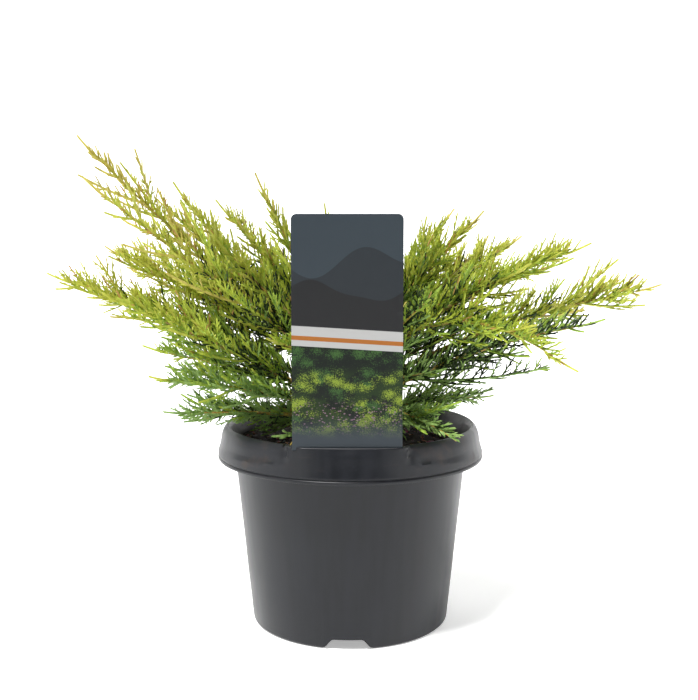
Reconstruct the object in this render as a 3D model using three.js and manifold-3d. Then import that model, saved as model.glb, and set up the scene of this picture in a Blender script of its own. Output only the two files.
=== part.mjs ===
// A young golden spreading juniper in a round nursery pot, with a plain plant label.
// Millimetres, +Z up. The origin is the centre of the pot's flat underside, and -Y is the front.
// The pot is a thin shell full of growing medium. A short trunk stands in the medium and forks into
// tapering boughs, and each bough carries one feathery mass of foliage. A mass grows by a seeded
// rule: shoots leave its stem in a spiral, and flat sprays leave each shoot on alternate sides. A
// shoot with its sprays is one toothed blade here.

import * as THREE from 'three';
import { mergeVertices } from 'three/addons/utils/BufferGeometryUtils.js';
import Module from 'manifold-3d';

const wasm = await Module();
wasm.setup();

// Driving dimensions
const POT_HEIGHT = 143;
const FOOT_RADIUS = 70.5;
const BODY_TOP_RADIUS = 84.5;
const SKIRT_RADIUS = 95;
const SKIRT_FOOT = 119;
const WALL = 1.6;
const SEAT_GAP = 0.3;
const SOIL_EDGE = 130;
const SOIL_CROWN = 135.5;
const LABEL_WIDTH = 70.8;
const LABEL_HEIGHT = 148;
const LABEL_THICKNESS = 0.7;
const LABEL_CORNER = 3.5;
const LABEL_FACE_Y = -87.2;
const LABEL_X = -2;
const TAB_WIDTH = 0.72 * LABEL_WIDTH;
const TAB_DEPTH = 17;
const SLOT_GAP = 0.4;
const TRUNK_FOOT = SOIL_CROWN + SEAT_GAP;
const TRUNK_HEIGHT = 46;
const TRUNK_RADIUS = 8;
const TRUNK_LEAN = new THREE.Vector3(-4, 2, 0);
const ROOT_FLARE = 5;
const FLARE_SHARE = 0.22;
const BOUGH_FOOT = 3;
const FORK_FOOT = 2.2;
const LIMB_TIP = 0.5;
const LIMB_BEND_SHARE = 0.45;
const FORK_OUT = 14;

// Angles and sizes of the foliage, shared by every mass
const GOLDEN_ANGLE = 137.508;
const SHOOT_STEP = 7.2;
const SHOOTS_PER_BLADE = 3;
const SHOOT_LEAN = 37;
const SHOOT_LONGEST = 52;
const LEADER = 1.45;
const SHORTER_UPWARDS = 0.3;
const SHORTER_DOWNWARDS = 0.5;
const SHOOT_WIDTH = 2.2;
const FIRST_SHOOT_ON_BOUGH = 3;
const FIRST_SHOOT_ON_TRUNK = 22;
const SHORTEST_BLADE = 8;
const SPRAY_STEP = 16;
const SPRAY_LENGTH = 25;
const SPRAY_THICKNESS = 1.3;
const SPRAY_LEAN = 38;
const SPRAY_NARROWING = 0.45;
const SPRAY_STUB = 0.15;
const FIRST_SPRAY = 6;
const LAST_SPRAY_SHARE = 0.88;
const TIP_REACH = 15;
const TIP_SHOOT = 6;
const ROOM_MARGIN = 1;
const TRUNK_ROOM = 4;
const POT_ROOM = 3.5;
const SOIL_ROOM = 2.5;
const SHORTER = [1, 0.75, 0.5, 0.33];

// Each limb: name, parent, share of the parent's length where it starts, compass angle of its tip
// in degrees from +X, reach of the tip from the pot's axis, height of the tip, how far its middle
// is lifted, and the share of its length that is bare bough. A share of 0 is a mass on the trunk.
const LIMBS = [
  ['top_left', 'trunk', 0.84, 180, 194, 346, -10, 0.19],
  ['far_left', 'trunk', 0.42, 174, 225, 249, 16, 0.19],
  ['left_back', 'trunk', 0.66, 158, 208, 267, 12, 0.18],
  ['left_front', 'trunk', 0.3, -160, 176, 240, 6, 0.18],
  ['crown_front', 'trunk', 0.98, -160, 70, 320, 6, 0.13],
  ['crown_back', 'trunk', 0.93, 112, 52, 300, 8, 0.13],
  ['crown_right', 'trunk', 0.9, 24, 84, 296, 14, 0.15],
  ['far_right', 'trunk', 0.52, -1, 222, 243, 24, 0.19],
  ['right_high', 'trunk', 0.76, -16, 168, 274, 24, 0.17],
  ['right_mid', 'trunk', 0.3, -20, 180, 224, 20, 0.18],
  ['front_right', 'trunk', 0.62, -50, 92, 246, 10, 0.16],
  ['front_left', 'trunk', 0.7, -124, 98, 214, 14, 0.16],
  ['back_left', 'trunk', 0.38, 128, 178, 258, 14, 0.18],
  ['back_mid', 'trunk', 0.56, 94, 176, 250, 18, 0.18],
  ['back_right', 'trunk', 0.44, 60, 172, 262, 14, 0.18],
  ['top_left_front', 'top_left', 0.5, -164, 186, 316, -4, 0.11],
  ['upper_left', 'crown_front', 0.55, -168, 126, 312, 0, 0.09],
  ['crown_left', 'top_left', 0.4, 158, 108, 304, 4, 0.1],
  ['upper_left_back', 'left_back', 0.5, 150, 176, 304, 0, 0.11],
  ['left_low', 'far_left', 0.55, 182, 152, 198, 0, 0.11],
  ['right_back', 'far_right', 0.4, 27, 148, 276, 14, 0.12],
  ['upper_right', 'right_high', 0.5, -6, 94, 296, 8, 0.11],
  ['left_under', 'trunk', 0.26, -152, 152, 186, 8, 0],
  ['right_drop', 'trunk', 0.7, -31, 174, 198, 74, 0],
  ['left_rim', 'trunk', 0.14, 172, 128, 140, 18, 0],
  ['right_rim', 'trunk', 0.14, 26, 126, 153, 12, 0],
  ['back_rim', 'trunk', 0.14, 104, 128, 176, 12, 0],
  ['front_left_rim', 'trunk', 0.2, -115, 107, 143, 22, 0],
  ['front_right_rim', 'trunk', 0.26, -48, 118, 144, 20, 0],
  ['front_mid', 'trunk', 0.8, -92, 66, 252, 12, 0],
  ['left_inner', 'trunk', 0.3, 176, 138, 182, 8, 0],
  ['left_foot', 'trunk', 0.12, -160, 138, 158, 8, 0],
  ['right_inner', 'trunk', 0.62, -6, 116, 226, 10, 0],
  ['front_right_low', 'trunk', 0.4, -46, 92, 192, 12, 0],
];

const SOIL_MATERIAL = new THREE.MeshStandardMaterial({ color: 0x2a1c15, roughness: 0.95 });
const POT_MATERIAL = new THREE.MeshStandardMaterial({ color: 0x47484b, roughness: 0.5 });
const LABEL_MATERIAL = new THREE.MeshStandardMaterial({ color: 0x3a4046, roughness: 0.35 });
const BARK_MATERIAL = new THREE.MeshStandardMaterial({ color: 0x7a4f2c, roughness: 0.85 });
const FOLIAGE_MATERIAL = new THREE.MeshStandardMaterial({ color: 0x93a534, roughness: 0.7 });

const TRUNK_SIDES = 10;
const BOUGH_SIDES = 5;
const BOUGH_RINGS = 3;
const STEM_SIDES = 3;
const STEM_RINGS = 5;

const UP = new THREE.Vector3(0, 0, 1);
const SIDEWAYS = new THREE.Vector3(1, 0, 0);

function radians(degrees) {
  return (degrees * Math.PI) / 180;
}

// Solids

function solidOf(geometry) {
  const bare = geometry.clone();
  bare.deleteAttribute('normal');
  bare.deleteAttribute('uv');
  const merged = mergeVertices(bare, 1e-4);
  return new wasm.Manifold(new wasm.Mesh({
    numProp: 3,
    vertProperties: merged.attributes.position.array,
    triVerts: new Uint32Array(merged.index.array),
  }));
}

function geometryOf(solid) {
  const mesh = solid.getMesh();
  const geometry = new THREE.BufferGeometry();
  geometry.setAttribute('position', new THREE.BufferAttribute(mesh.vertProperties, 3));
  geometry.setIndex(new THREE.BufferAttribute(mesh.triVerts, 1));
  const faceted = geometry.toNonIndexed();
  faceted.computeVertexNormals();
  return faceted;
}

// The largest body of a solid: loose scraps are dropped.
function largestBody(solid) {
  const bodies = solid.decompose();
  bodies.sort((a, b) => b.volume() - a.volume());
  return bodies[0];
}

// A closed cylinder whose rings follow a curve. radiusAt gives the radius at each share of it.
// The rings of an upright curve are turned from the side, so that they don't spin where it leans.
function limbGeometry(curve, from, to, radiusAt, sides, rings) {
  const geometry = new THREE.CylinderGeometry(1, 1, 1, sides, rings);
  const chord = curve.getPoint(1).sub(curve.getPoint(0)).normalize();
  const reference = chord.z > 0.97 ? SIDEWAYS : UP;
  const position = geometry.attributes.position;
  const vertex = new THREE.Vector3();
  for (let i = 0; i < position.count; i += 1) {
    vertex.fromBufferAttribute(position, i);
    const share = from + (to - from) * (0.5 + vertex.y);
    const centre = curve.getPoint(share);
    const tangent = curve.getTangent(share);
    const across = new THREE.Vector3().crossVectors(tangent, reference).normalize();
    const over = new THREE.Vector3().crossVectors(across, tangent);
    const radius = radiusAt(share);
    centre.addScaledVector(across, vertex.x * radius);
    centre.addScaledVector(over, vertex.z * radius);
    position.setXYZ(i, centre.x, centre.y, centre.z);
  }
  return geometry;
}

// The same stream of numbers from 0 to 1 for the same seed
function randomStream(seed) {
  let state = seed >>> 0;
  return () => {
    state = (state + 0x6d2b79f5) >>> 0;
    let mixed = Math.imul(state ^ (state >>> 15), state | 1);
    mixed ^= mixed + Math.imul(mixed ^ (mixed >>> 7), mixed | 61);
    return ((mixed ^ (mixed >>> 14)) >>> 0) / 4294967296;
  };
}

// Pot

function bodyRadius(height) {
  return FOOT_RADIUS + ((BODY_TOP_RADIUS - FOOT_RADIUS) * height) / (POT_HEIGHT - 4);
}

const SEAT_HALF_WIDTH = LABEL_WIDTH / 2 + 2.5;
const SEAT_FRONT_Y = LABEL_FACE_Y - 2.3;
const CHANNEL_COUNT = 3;
const CHANNEL_HEIGHT = 7;
const CHANNEL_INNER = 42;
const CHANNEL_FOOT_WIDTH = 33;
const CHANNEL_ROOF_WIDTH = 23;
const DRAIN_RADIUS = 4.5;
const POT_SEGMENTS = 36;

// The shell's section, from the middle of the underside, up the outside, over the rim and back in
function potSection() {
  const points = [
    [0, 0],
    [FOOT_RADIUS - 1.4, 0],
    [bodyRadius(1.2), 1.2],
    [bodyRadius(POT_HEIGHT - 7), POT_HEIGHT - 7],
    [BODY_TOP_RADIUS + 2, POT_HEIGHT - 2.6],
    [SKIRT_RADIUS - 4.6, POT_HEIGHT - 5],
    [SKIRT_RADIUS - 4, SKIRT_FOOT + 11],
    [SKIRT_RADIUS - 1.6, SKIRT_FOOT + 3],
    [SKIRT_RADIUS - 1.2, SKIRT_FOOT],
    [SKIRT_RADIUS - 0.3, SKIRT_FOOT],
    [SKIRT_RADIUS, SKIRT_FOOT + 3.4],
    [SKIRT_RADIUS - 2.4, SKIRT_FOOT + 9.5],
    [SKIRT_RADIUS - 2.8, POT_HEIGHT - 6],
    [SKIRT_RADIUS - 4, POT_HEIGHT - 2],
    [BODY_TOP_RADIUS + 3.4, POT_HEIGHT],
    [BODY_TOP_RADIUS - 0.4, POT_HEIGHT - 4.5],
    [bodyRadius(POT_HEIGHT - 12) - WALL, POT_HEIGHT - 12],
    [bodyRadius(0) - WALL, WALL],
    [0, WALL],
  ];
  return points.map(([radius, height]) => new THREE.Vector2(radius, height));
}

// In front, the rim stands out as a flat-faced seat for the label.
function shapeLabelSeat(geometry) {
  const position = geometry.attributes.position;
  const soft = 3;
  for (let i = 0; i < position.count; i += 1) {
    const x = position.getX(i);
    const y = position.getY(i);
    const height = position.getZ(i);
    const radius = Math.hypot(x, y);
    const outside = radius > SKIRT_RADIUS - 5 && height > SKIRT_FOOT + 4;
    const lip = radius > BODY_TOP_RADIUS - 1 && height > POT_HEIGHT - 5.5;
    const offside = Math.abs(x - LABEL_X);
    if (y > 0 || !(outside || lip) || offside > SEAT_HALF_WIDTH + soft) continue;
    const weight = Math.min(1, Math.max(0, (SEAT_HALF_WIDTH + soft - offside) / soft));
    const flat = Math.min(SKIRT_RADIUS - 0.5, SEAT_FRONT_Y / (y / radius));
    const drop = (POT_HEIGHT - height) / (POT_HEIGHT - SKIRT_FOOT - 3.4);
    const target = outside ? flat + (SKIRT_RADIUS - flat) * drop : radius - 1.9;
    const scale = 1 + (target / radius - 1) * weight;
    const flush = outside && height > POT_HEIGHT - 3 ? POT_HEIGHT - 0.2 : height;
    position.setXYZ(i, x * scale, y * scale, height + (flush - height) * weight);
  }
}

// A drain channel's prism under the pot's floor, grown by a margin on every side but the foot
function channelSolid(angle, margin) {
  const shape = new THREE.Shape();
  shape.moveTo(-CHANNEL_FOOT_WIDTH / 2 - margin, -1);
  shape.lineTo(CHANNEL_FOOT_WIDTH / 2 + margin, -1);
  shape.lineTo(CHANNEL_ROOF_WIDTH / 2 + margin, CHANNEL_HEIGHT + margin);
  shape.lineTo(-CHANNEL_ROOF_WIDTH / 2 - margin, CHANNEL_HEIGHT + margin);
  const depth = FOOT_RADIUS + 10 - CHANNEL_INNER + margin;
  const geometry = new THREE.ExtrudeGeometry(shape, { depth, bevelEnabled: false });
  geometry.rotateX(Math.PI / 2);
  geometry.translate(0, -(CHANNEL_INNER - margin), 0);
  geometry.rotateZ(angle);
  return solidOf(geometry);
}

function latheGeometry(points, segments) {
  const geometry = new THREE.LatheGeometry(points, segments);
  geometry.rotateX(Math.PI / 2);
  return geometry;
}

// What fills the pot's body inside a wall of the given thickness, from floor to top
function bodyFill(wall, floor, top) {
  const fill = latheGeometry([
    new THREE.Vector2(0, floor),
    new THREE.Vector2(bodyRadius(floor) - wall, floor),
    new THREE.Vector2(bodyRadius(top) - wall, top),
    new THREE.Vector2(0, top),
  ], POT_SEGMENTS);
  return solidOf(fill);
}

const channelAngles = Array.from({ length: CHANNEL_COUNT }, (_, i) => (
  radians(LABEL_X / 1.3 + (360 * i) / CHANNEL_COUNT)
));

function labelTabSolid(margin) {
  const depth = LABEL_THICKNESS + 2 * margin;
  const slot = new THREE.BoxGeometry(TAB_WIDTH + 2 * margin, depth, TAB_DEPTH + 2);
  slot.translate(LABEL_X, LABEL_FACE_Y, POT_HEIGHT + 1.5 - (TAB_DEPTH + 2) / 2);
  return solidOf(slot);
}

function potSolid() {
  const shell = latheGeometry(potSection(), POT_SEGMENTS);
  shapeLabelSeat(shell);
  let pot = solidOf(shell);
  for (const angle of channelAngles) {
    const roof = channelSolid(angle, WALL).intersect(bodyFill(0, 0.2, 20));
    pot = pot.add(roof).subtract(channelSolid(angle, 0));
    const drain = new THREE.CylinderGeometry(DRAIN_RADIUS, DRAIN_RADIUS, 12, 12);
    drain.rotateX(Math.PI / 2);
    drain.translate(0, -(CHANNEL_INNER + 7), CHANNEL_HEIGHT);
    drain.rotateZ(angle);
    pot = pot.subtract(solidOf(drain));
  }
  return largestBody(pot.subtract(labelTabSolid(SLOT_GAP)));
}

function soilSolid() {
  const side = (height) => bodyRadius(height) - WALL - SEAT_GAP;
  let soil = solidOf(latheGeometry([
    new THREE.Vector2(0, WALL + SEAT_GAP),
    new THREE.Vector2(side(0) - 0.2, WALL + SEAT_GAP),
    new THREE.Vector2(side(SOIL_EDGE), SOIL_EDGE),
    new THREE.Vector2(side(SOIL_EDGE) * 0.7, SOIL_EDGE + 2.6),
    new THREE.Vector2(side(SOIL_EDGE) * 0.3, SOIL_CROWN),
    new THREE.Vector2(0, SOIL_CROWN),
  ], POT_SEGMENTS));
  for (const angle of channelAngles) soil = soil.subtract(channelSolid(angle, WALL + SEAT_GAP));
  return soil;
}

// Label: a card with rounded top corners that stands on the rim, with a narrower tab in the slot

function labelSolid() {
  const half = LABEL_WIDTH / 2;
  const foot = POT_HEIGHT + SEAT_GAP;
  const top = foot + LABEL_HEIGHT;
  const tab = TAB_WIDTH / 2;
  const shape = new THREE.Shape();
  shape.moveTo(-tab, foot - TAB_DEPTH);
  shape.lineTo(tab, foot - TAB_DEPTH);
  shape.lineTo(tab, foot);
  shape.lineTo(half, foot);
  shape.lineTo(half, top - LABEL_CORNER);
  shape.absarc(half - LABEL_CORNER, top - LABEL_CORNER, LABEL_CORNER, 0, Math.PI / 2);
  shape.lineTo(-half + LABEL_CORNER, top);
  shape.absarc(-half + LABEL_CORNER, top - LABEL_CORNER, LABEL_CORNER, Math.PI / 2, Math.PI);
  shape.lineTo(-half, foot);
  shape.lineTo(-tab, foot);
  const card = new THREE.ExtrudeGeometry(shape, {
    depth: LABEL_THICKNESS, bevelEnabled: false, curveSegments: 5,
  });
  card.rotateX(Math.PI / 2);
  card.translate(LABEL_X, LABEL_FACE_Y + LABEL_THICKNESS / 2, 0);
  return solidOf(card);
}

// Trunk, with its lean and root flare

const trunkCurve = new THREE.QuadraticBezierCurve3(
  new THREE.Vector3(0, 0, TRUNK_FOOT),
  new THREE.Vector3(-TRUNK_LEAN.x * 0.3, 0, TRUNK_FOOT + TRUNK_HEIGHT * 0.5),
  new THREE.Vector3(TRUNK_LEAN.x, TRUNK_LEAN.y, TRUNK_FOOT + TRUNK_HEIGHT),
);

// The trunk flares at the root, and a narrower last ring rounds its top.
function trunkRadius(share) {
  const flare = ROOT_FLARE * Math.max(0, 1 - share / FLARE_SHARE) ** 2;
  const tip = share > 0.94 ? 0.72 : 1;
  return (TRUNK_RADIUS * (1 - 0.3 * share) + flare) * tip;
}

// A leaning curve has tilted end rings, so the trunk's foot is cut flat at ground level.
function trunkSolid(margin) {
  const grown = (share) => trunkRadius(share) + margin;
  const body = solidOf(limbGeometry(trunkCurve, 0, 1, grown, TRUNK_SIDES, 9));
  return body.trimByPlane([0, 0, 1], TRUNK_FOOT + 0.2 - margin);
}

// Limbs: each is one curve from its parent to its tip. The bough is its bare part.

function limbTip([, , , angle, reach, height]) {
  const turn = radians(angle);
  return new THREE.Vector3(reach * Math.cos(turn), reach * Math.sin(turn), height);
}

function growLimbs() {
  const limbs = new Map();
  for (const row of LIMBS) {
    const [name, parentName, along, , , , lift, share] = row;
    const parent = limbs.get(parentName);
    const start = parent
      ? parent.curve.getPoint(parent.share * along)
      : trunkCurve.getPoint(along);
    const tip = limbTip(row);
    tip.addScaledVector(tip.clone().sub(start).normalize(), -TIP_REACH);
    const middle = start.clone().lerp(tip, LIMB_BEND_SHARE).addScaledVector(UP, lift);
    if (parent) {
      const away = tip.clone().sub(parent.curve.getPoint(1)).setZ(0).normalize();
      middle.addScaledVector(away, FORK_OUT);
    }
    const curve = new THREE.QuadraticBezierCurve3(start, middle, tip);
    const length = curve.getLength();
    const foot = parent ? FORK_FOOT : BOUGH_FOOT;
    const clear = share > 0 ? share + SEAT_GAP / length : 0;
    limbs.set(name, { name, parent, curve, share, length, foot, clear });
  }
  return limbs;
}

const limbs = growLimbs();

// A limb tapers evenly from its foot to its tip.
function limbRadius(limb, share) {
  return limb.foot * (1 - share) + LIMB_TIP;
}

// The stem inside a mass
function stemSolid(limb, margin) {
  const radiusAt = (share) => limbRadius(limb, share) + margin;
  return solidOf(limbGeometry(limb.curve, limb.clear, 1, radiusAt, STEM_SIDES, STEM_RINGS));
}

// The bare part of a limb
function bareSolid(limb, margin) {
  const radiusAt = (share) => limbRadius(limb, share) + margin;
  return solidOf(limbGeometry(limb.curve, 0, limb.share, radiusAt, BOUGH_SIDES, BOUGH_RINGS));
}

// The wood that a limb is cut clear of: the trunk, and the limbs that are named before it
function olderWood(limb) {
  const wood = [trunkSolid(SEAT_GAP)];
  for (const other of limbs.values()) {
    if (other === limb) break;
    wood.push(stemSolid(other, SEAT_GAP));
    if (other.share > 0) wood.push(bareSolid(other, SEAT_GAP));
  }
  return wasm.Manifold.union(wood);
}

function allBoughs() {
  const bare = [...limbs.values()].filter((limb) => limb.share > 0);
  return wasm.Manifold.union(bare.map((limb) => bareSolid(limb, SEAT_GAP)));
}

function boughSolid(limb) {
  return largestBody(bareSolid(limb, 0).subtract(olderWood(limb)));
}

// Room: a mass keeps the points that lie nearer to its own stem than to any other.

function polyline(curve, from, to, count) {
  return Array.from({ length: count + 1 }, (_, i) => curve.getPoint(from + ((to - from) * i) / count));
}

function distanceToLine(point, line) {
  let nearest = Infinity;
  const edge = new THREE.Vector3();
  const offset = new THREE.Vector3();
  for (let i = 0; i + 1 < line.length; i += 1) {
    edge.subVectors(line[i + 1], line[i]);
    offset.subVectors(point, line[i]);
    const share = Math.min(1, Math.max(0, offset.dot(edge) / edge.lengthSq()));
    nearest = Math.min(nearest, offset.addScaledVector(edge, -share).length());
  }
  return nearest;
}

for (const limb of limbs.values()) {
  limb.stemLine = polyline(limb.curve, limb.clear, 1, 14);
  limb.boughLine = limb.share > 0 ? polyline(limb.curve, 0, limb.share, 6) : null;
}

function clearOfPot(point) {
  const radius = Math.hypot(point.x, point.y);
  const overRim = radius > BODY_TOP_RADIUS - POT_ROOM;
  const floor = overRim ? POT_HEIGHT + POT_ROOM : SOIL_CROWN + SOIL_ROOM;
  if (radius < SKIRT_RADIUS + POT_ROOM && point.z < floor) return false;
  const beside = Math.abs(point.x - LABEL_X) - LABEL_WIDTH / 2;
  const beforeLabel = point.y < LABEL_FACE_Y + POT_ROOM && beside < POT_ROOM;
  return !(beforeLabel && point.z < POT_HEIGHT + LABEL_HEIGHT + POT_ROOM);
}

function hasRoom(point, own) {
  if (!clearOfPot(point)) return false;
  if (distanceToLine(point, trunkLine) < TRUNK_RADIUS + TRUNK_ROOM) return false;
  const ownDistance = distanceToLine(point, own.stemLine);
  for (const other of limbs.values()) {
    if (other === own) continue;
    const boughRoom = other.foot + ROOM_MARGIN;
    if (other.boughLine && distanceToLine(point, other.boughLine) < boughRoom) return false;
    const stemRoom = Math.max(ownDistance + 2 * ROOM_MARGIN, boughRoom);
    if (distanceToLine(point, other.stemLine) < stemRoom) return false;
  }
  return true;
}

const trunkLine = polyline(trunkCurve, 0, 1, 6);

// Foliage

function shootCurve(foot, tangent, direction, reach) {
  const bend = tangent.clone().multiplyScalar(0.2).addScaledVector(UP, 0.12);
  const middle = foot.clone().addScaledVector(direction, reach * 0.5);
  const tip = foot.clone().addScaledVector(direction, reach).addScaledVector(bend, reach);
  return new THREE.QuadraticBezierCurve3(foot, middle, tip);
}

function curveHasRoom(curve, limb) {
  return [0.1, 0.35, 0.6, 0.8, 1].every((share) => hasRoom(curve.getPoint(share), limb));
}

function firstShoot(limb) {
  return limb.share > 0 ? FIRST_SHOOT_ON_BOUGH : FIRST_SHOOT_ON_TRUNK;
}

// Where shoot number i of a limb leaves the stem, how it points and how far it reaches. The last
// one carries the stem's own tip on.
function planShoot(limb, i, last, random) {
  const jitter = random();
  const longer = random();
  const turned = random();
  const leaned = random();
  const stemLength = limb.length * (1 - limb.clear);
  const along = firstShoot(limb) + (i + 0.6 * jitter) * SHOOT_STEP;
  const travelled = last ? stemLength - TIP_SHOOT : along;
  const leader = longer > 0.8 ? LEADER : 1;
  const most = Math.min(SHOOT_LONGEST, 6 + 0.44 * (stemLength - travelled));
  return {
    share: limb.clear + (1 - limb.clear) * (travelled / stemLength),
    reach: last ? TIP_REACH : most * (0.7 + 0.45 * longer) * leader,
    roll: radians(i * GOLDEN_ANGLE + 50 * (turned - 0.5)),
    lean: last ? 0 : radians(SHOOT_LEAN + 16 * (leaned - 0.5)),
  };
}

// A spreading shrub: shoots that point up or down stay shorter than level ones.
function levelShare(direction) {
  const upwards = Math.max(0, direction.z);
  const downwards = Math.max(0, -direction.z);
  return 1 - SHORTER_UPWARDS * upwards - SHORTER_DOWNWARDS * downwards;
}

// A shoot that would leave its mass's space is made shorter, and is left out if that isn't enough.
function growShoots(limb, seed) {
  const random = randomStream(seed);
  const stemLength = limb.length * (1 - limb.clear);
  const count = Math.floor((stemLength - firstShoot(limb) - 4) / SHOOT_STEP) + 1;
  const shoots = [];
  for (let i = 0; i < count; i += 1) {
    const last = i === count - 1;
    const { share, reach, roll, lean } = planShoot(limb, i, last, random);
    const foot = limb.curve.getPoint(share);
    const tangent = limb.curve.getTangent(share);
    const across = new THREE.Vector3().crossVectors(tangent, UP).normalize();
    const over = new THREE.Vector3().crossVectors(across, tangent);
    const outward = across.multiplyScalar(Math.cos(roll)).addScaledVector(over, Math.sin(roll));
    const direction = tangent.clone().multiplyScalar(Math.cos(lean))
      .addScaledVector(outward, Math.sin(lean));
    const level = last ? 1 : levelShare(direction);
    for (const cut of SHORTER) {
      const curve = shootCurve(foot, tangent, direction, reach * level * cut);
      if (!curveHasRoom(curve, limb)) continue;
      shoots.push({ index: i, last, curve, reach: reach * level * cut });
      break;
    }
  }
  return shoots;
}

// The sprays of one shoot lie in one plane, and the planes turn from shoot to shoot.
function shootFrame(shoot) {
  const tangent = shoot.curve.getTangent(0.5);
  const flat = new THREE.Vector3().crossVectors(tangent, UP).normalize();
  flat.applyAxisAngle(tangent, radians(shoot.index * GOLDEN_ANGLE));
  const normal = new THREE.Vector3().crossVectors(flat, tangent).normalize();
  const length = shoot.curve.getLength();
  // The point that lies so far along the shoot and so far beside it
  const place = (along, beside) => {
    const share = Math.min(1, Math.max(0, along / length));
    const direction = shoot.curve.getTangent(share);
    const side = new THREE.Vector3().crossVectors(direction, normal).normalize();
    return shoot.curve.getPoint(share)
      .addScaledVector(direction, along - share * length)
      .addScaledVector(side, beside);
  };
  return { normal, length, place };
}

// The teeth down one side of a shoot, from its foot to its tip. Each tooth is one spray that leans
// forwards, and it is made shorter where it would leave the mass's space.
function teeth(frame, side, limb) {
  const lean = radians(SPRAY_LEAN);
  const step = frame.length / Math.max(1, Math.round(frame.length / SPRAY_STEP));
  const start = FIRST_SPRAY + (side > 0 ? 0 : 0.45 * step);
  const points = [];
  const end = LAST_SPRAY_SHARE * frame.length;
  for (let along = start; along < end - 1; along += step) {
    const longest = Math.min(SPRAY_LENGTH, 5 + 0.5 * frame.length);
    const length = longest * (1 - SPRAY_NARROWING * (along / frame.length));
    const tip = (cut) => [
      along + length * cut * Math.cos(lean),
      side * (SHOOT_WIDTH / 2 + length * cut * Math.sin(lean)),
    ];
    const cut = SHORTER.find((share) => (
      hasRoom(frame.place(...tip(share)), limb) && hasRoom(frame.place(...tip(share / 2)), limb)
    ));
    points.push([along, (side * SHOOT_WIDTH) / 2], tip(cut ?? SPRAY_STUB));
  }
  points.push([end, (side * SHOOT_WIDTH) / 2.6]);
  return points;
}

// A shoot and its sprays: one toothed blade, extruded flat and then bent along the shoot
function bladeSolid(shoot, limb) {
  const frame = shootFrame(shoot);
  const right = teeth(frame, 1, limb);
  const left = teeth(frame, -1, limb);
  const outline = [[0, 0], ...right, [frame.length + 2, 0], ...left.reverse()];
  const shape = new THREE.Shape(outline.map(([along, beside]) => new THREE.Vector2(beside, along)));
  const blade = new THREE.ExtrudeGeometry(shape, { depth: SPRAY_THICKNESS, bevelEnabled: false });
  const position = blade.attributes.position;
  for (let i = 0; i < position.count; i += 1) {
    const point = frame.place(position.getY(i), position.getX(i));
    point.addScaledVector(frame.normal, position.getZ(i) - SPRAY_THICKNESS / 2);
    position.setXYZ(i, point.x, point.y, point.z);
  }
  return solidOf(blade);
}

// A mass: its stem, and the blades of every few shoots
function massSolid(limb, seed) {
  const shoots = growShoots(limb, seed).filter((shoot, place) => (
    shoot.last || (shoot.reach > SHORTEST_BLADE && place % SHOOTS_PER_BLADE === 0)
  ));
  const pieces = [stemSolid(limb, 0), ...shoots.map((shoot) => bladeSolid(shoot, limb))];
  const mass = wasm.Manifold.union(pieces).subtract(olderWood(limb));
  return largestBody(mass.subtract(boughs));
}

// Assembly

const boughs = allBoughs();

const plant = new THREE.Group();

function addNode(name, solid, material) {
  const mesh = new THREE.Mesh(geometryOf(solid), material);
  mesh.name = name;
  plant.add(mesh);
}

addNode('pot', potSolid(), POT_MATERIAL);
addNode('growing_medium', soilSolid(), SOIL_MATERIAL);
addNode('label_card', labelSolid(), LABEL_MATERIAL);
addNode('trunk', trunkSolid(0), BARK_MATERIAL);
let seed = 11;
for (const limb of limbs.values()) {
  if (limb.share > 0) addNode(`bough_${limb.name}`, boughSolid(limb), BARK_MATERIAL);
  addNode(`foliage_${limb.name}`, massSolid(limb, seed), FOLIAGE_MATERIAL);
  seed += 1;
}

export default plant;
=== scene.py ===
# %% [markdown]
# This lesson dresses a potted golden juniper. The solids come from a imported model, and every piece
# made here stands where its solid stands, in metres, with +Z up and -Y the front. The box of the
# solids is kept first, because the dressed plant has to stay within it.

import math

import bmesh
import bpy
import numpy as np
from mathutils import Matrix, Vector, noise


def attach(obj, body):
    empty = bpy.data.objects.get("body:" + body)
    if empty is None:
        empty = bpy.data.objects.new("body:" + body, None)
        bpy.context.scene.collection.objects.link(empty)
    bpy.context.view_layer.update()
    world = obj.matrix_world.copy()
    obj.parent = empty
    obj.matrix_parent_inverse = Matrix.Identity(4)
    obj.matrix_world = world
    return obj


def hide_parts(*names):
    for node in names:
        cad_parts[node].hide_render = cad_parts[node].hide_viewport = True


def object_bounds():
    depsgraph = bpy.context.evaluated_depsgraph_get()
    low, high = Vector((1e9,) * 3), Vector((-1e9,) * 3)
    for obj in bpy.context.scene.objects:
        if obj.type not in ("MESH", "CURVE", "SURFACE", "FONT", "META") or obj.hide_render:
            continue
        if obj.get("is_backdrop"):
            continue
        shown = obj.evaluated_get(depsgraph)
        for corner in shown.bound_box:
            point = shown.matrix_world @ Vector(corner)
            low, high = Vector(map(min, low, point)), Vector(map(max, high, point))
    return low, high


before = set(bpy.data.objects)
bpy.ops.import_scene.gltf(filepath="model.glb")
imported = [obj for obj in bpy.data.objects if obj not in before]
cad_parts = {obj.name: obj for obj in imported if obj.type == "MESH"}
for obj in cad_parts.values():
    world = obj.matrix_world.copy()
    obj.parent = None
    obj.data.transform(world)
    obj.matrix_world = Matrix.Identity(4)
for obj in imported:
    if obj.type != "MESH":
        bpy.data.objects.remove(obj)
cad_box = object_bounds()
MM = 0.001
print("solids:", len(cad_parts), "box:", [tuple(corner) for corner in cad_box])

# %% [markdown]
# Photographs of nursery plants are taken on a white sweep, so the camera goes in first. Its height,
# its small downward pitch and its lens were worked out from the ellipses of the pot's rim and foot.

# %% Camera
CAMERA_PLACE = Vector((-0.9, -768.9, 290.5)) * MM
CAMERA_PITCH = 0.124
CAMERA_LENS = 55.7


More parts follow.
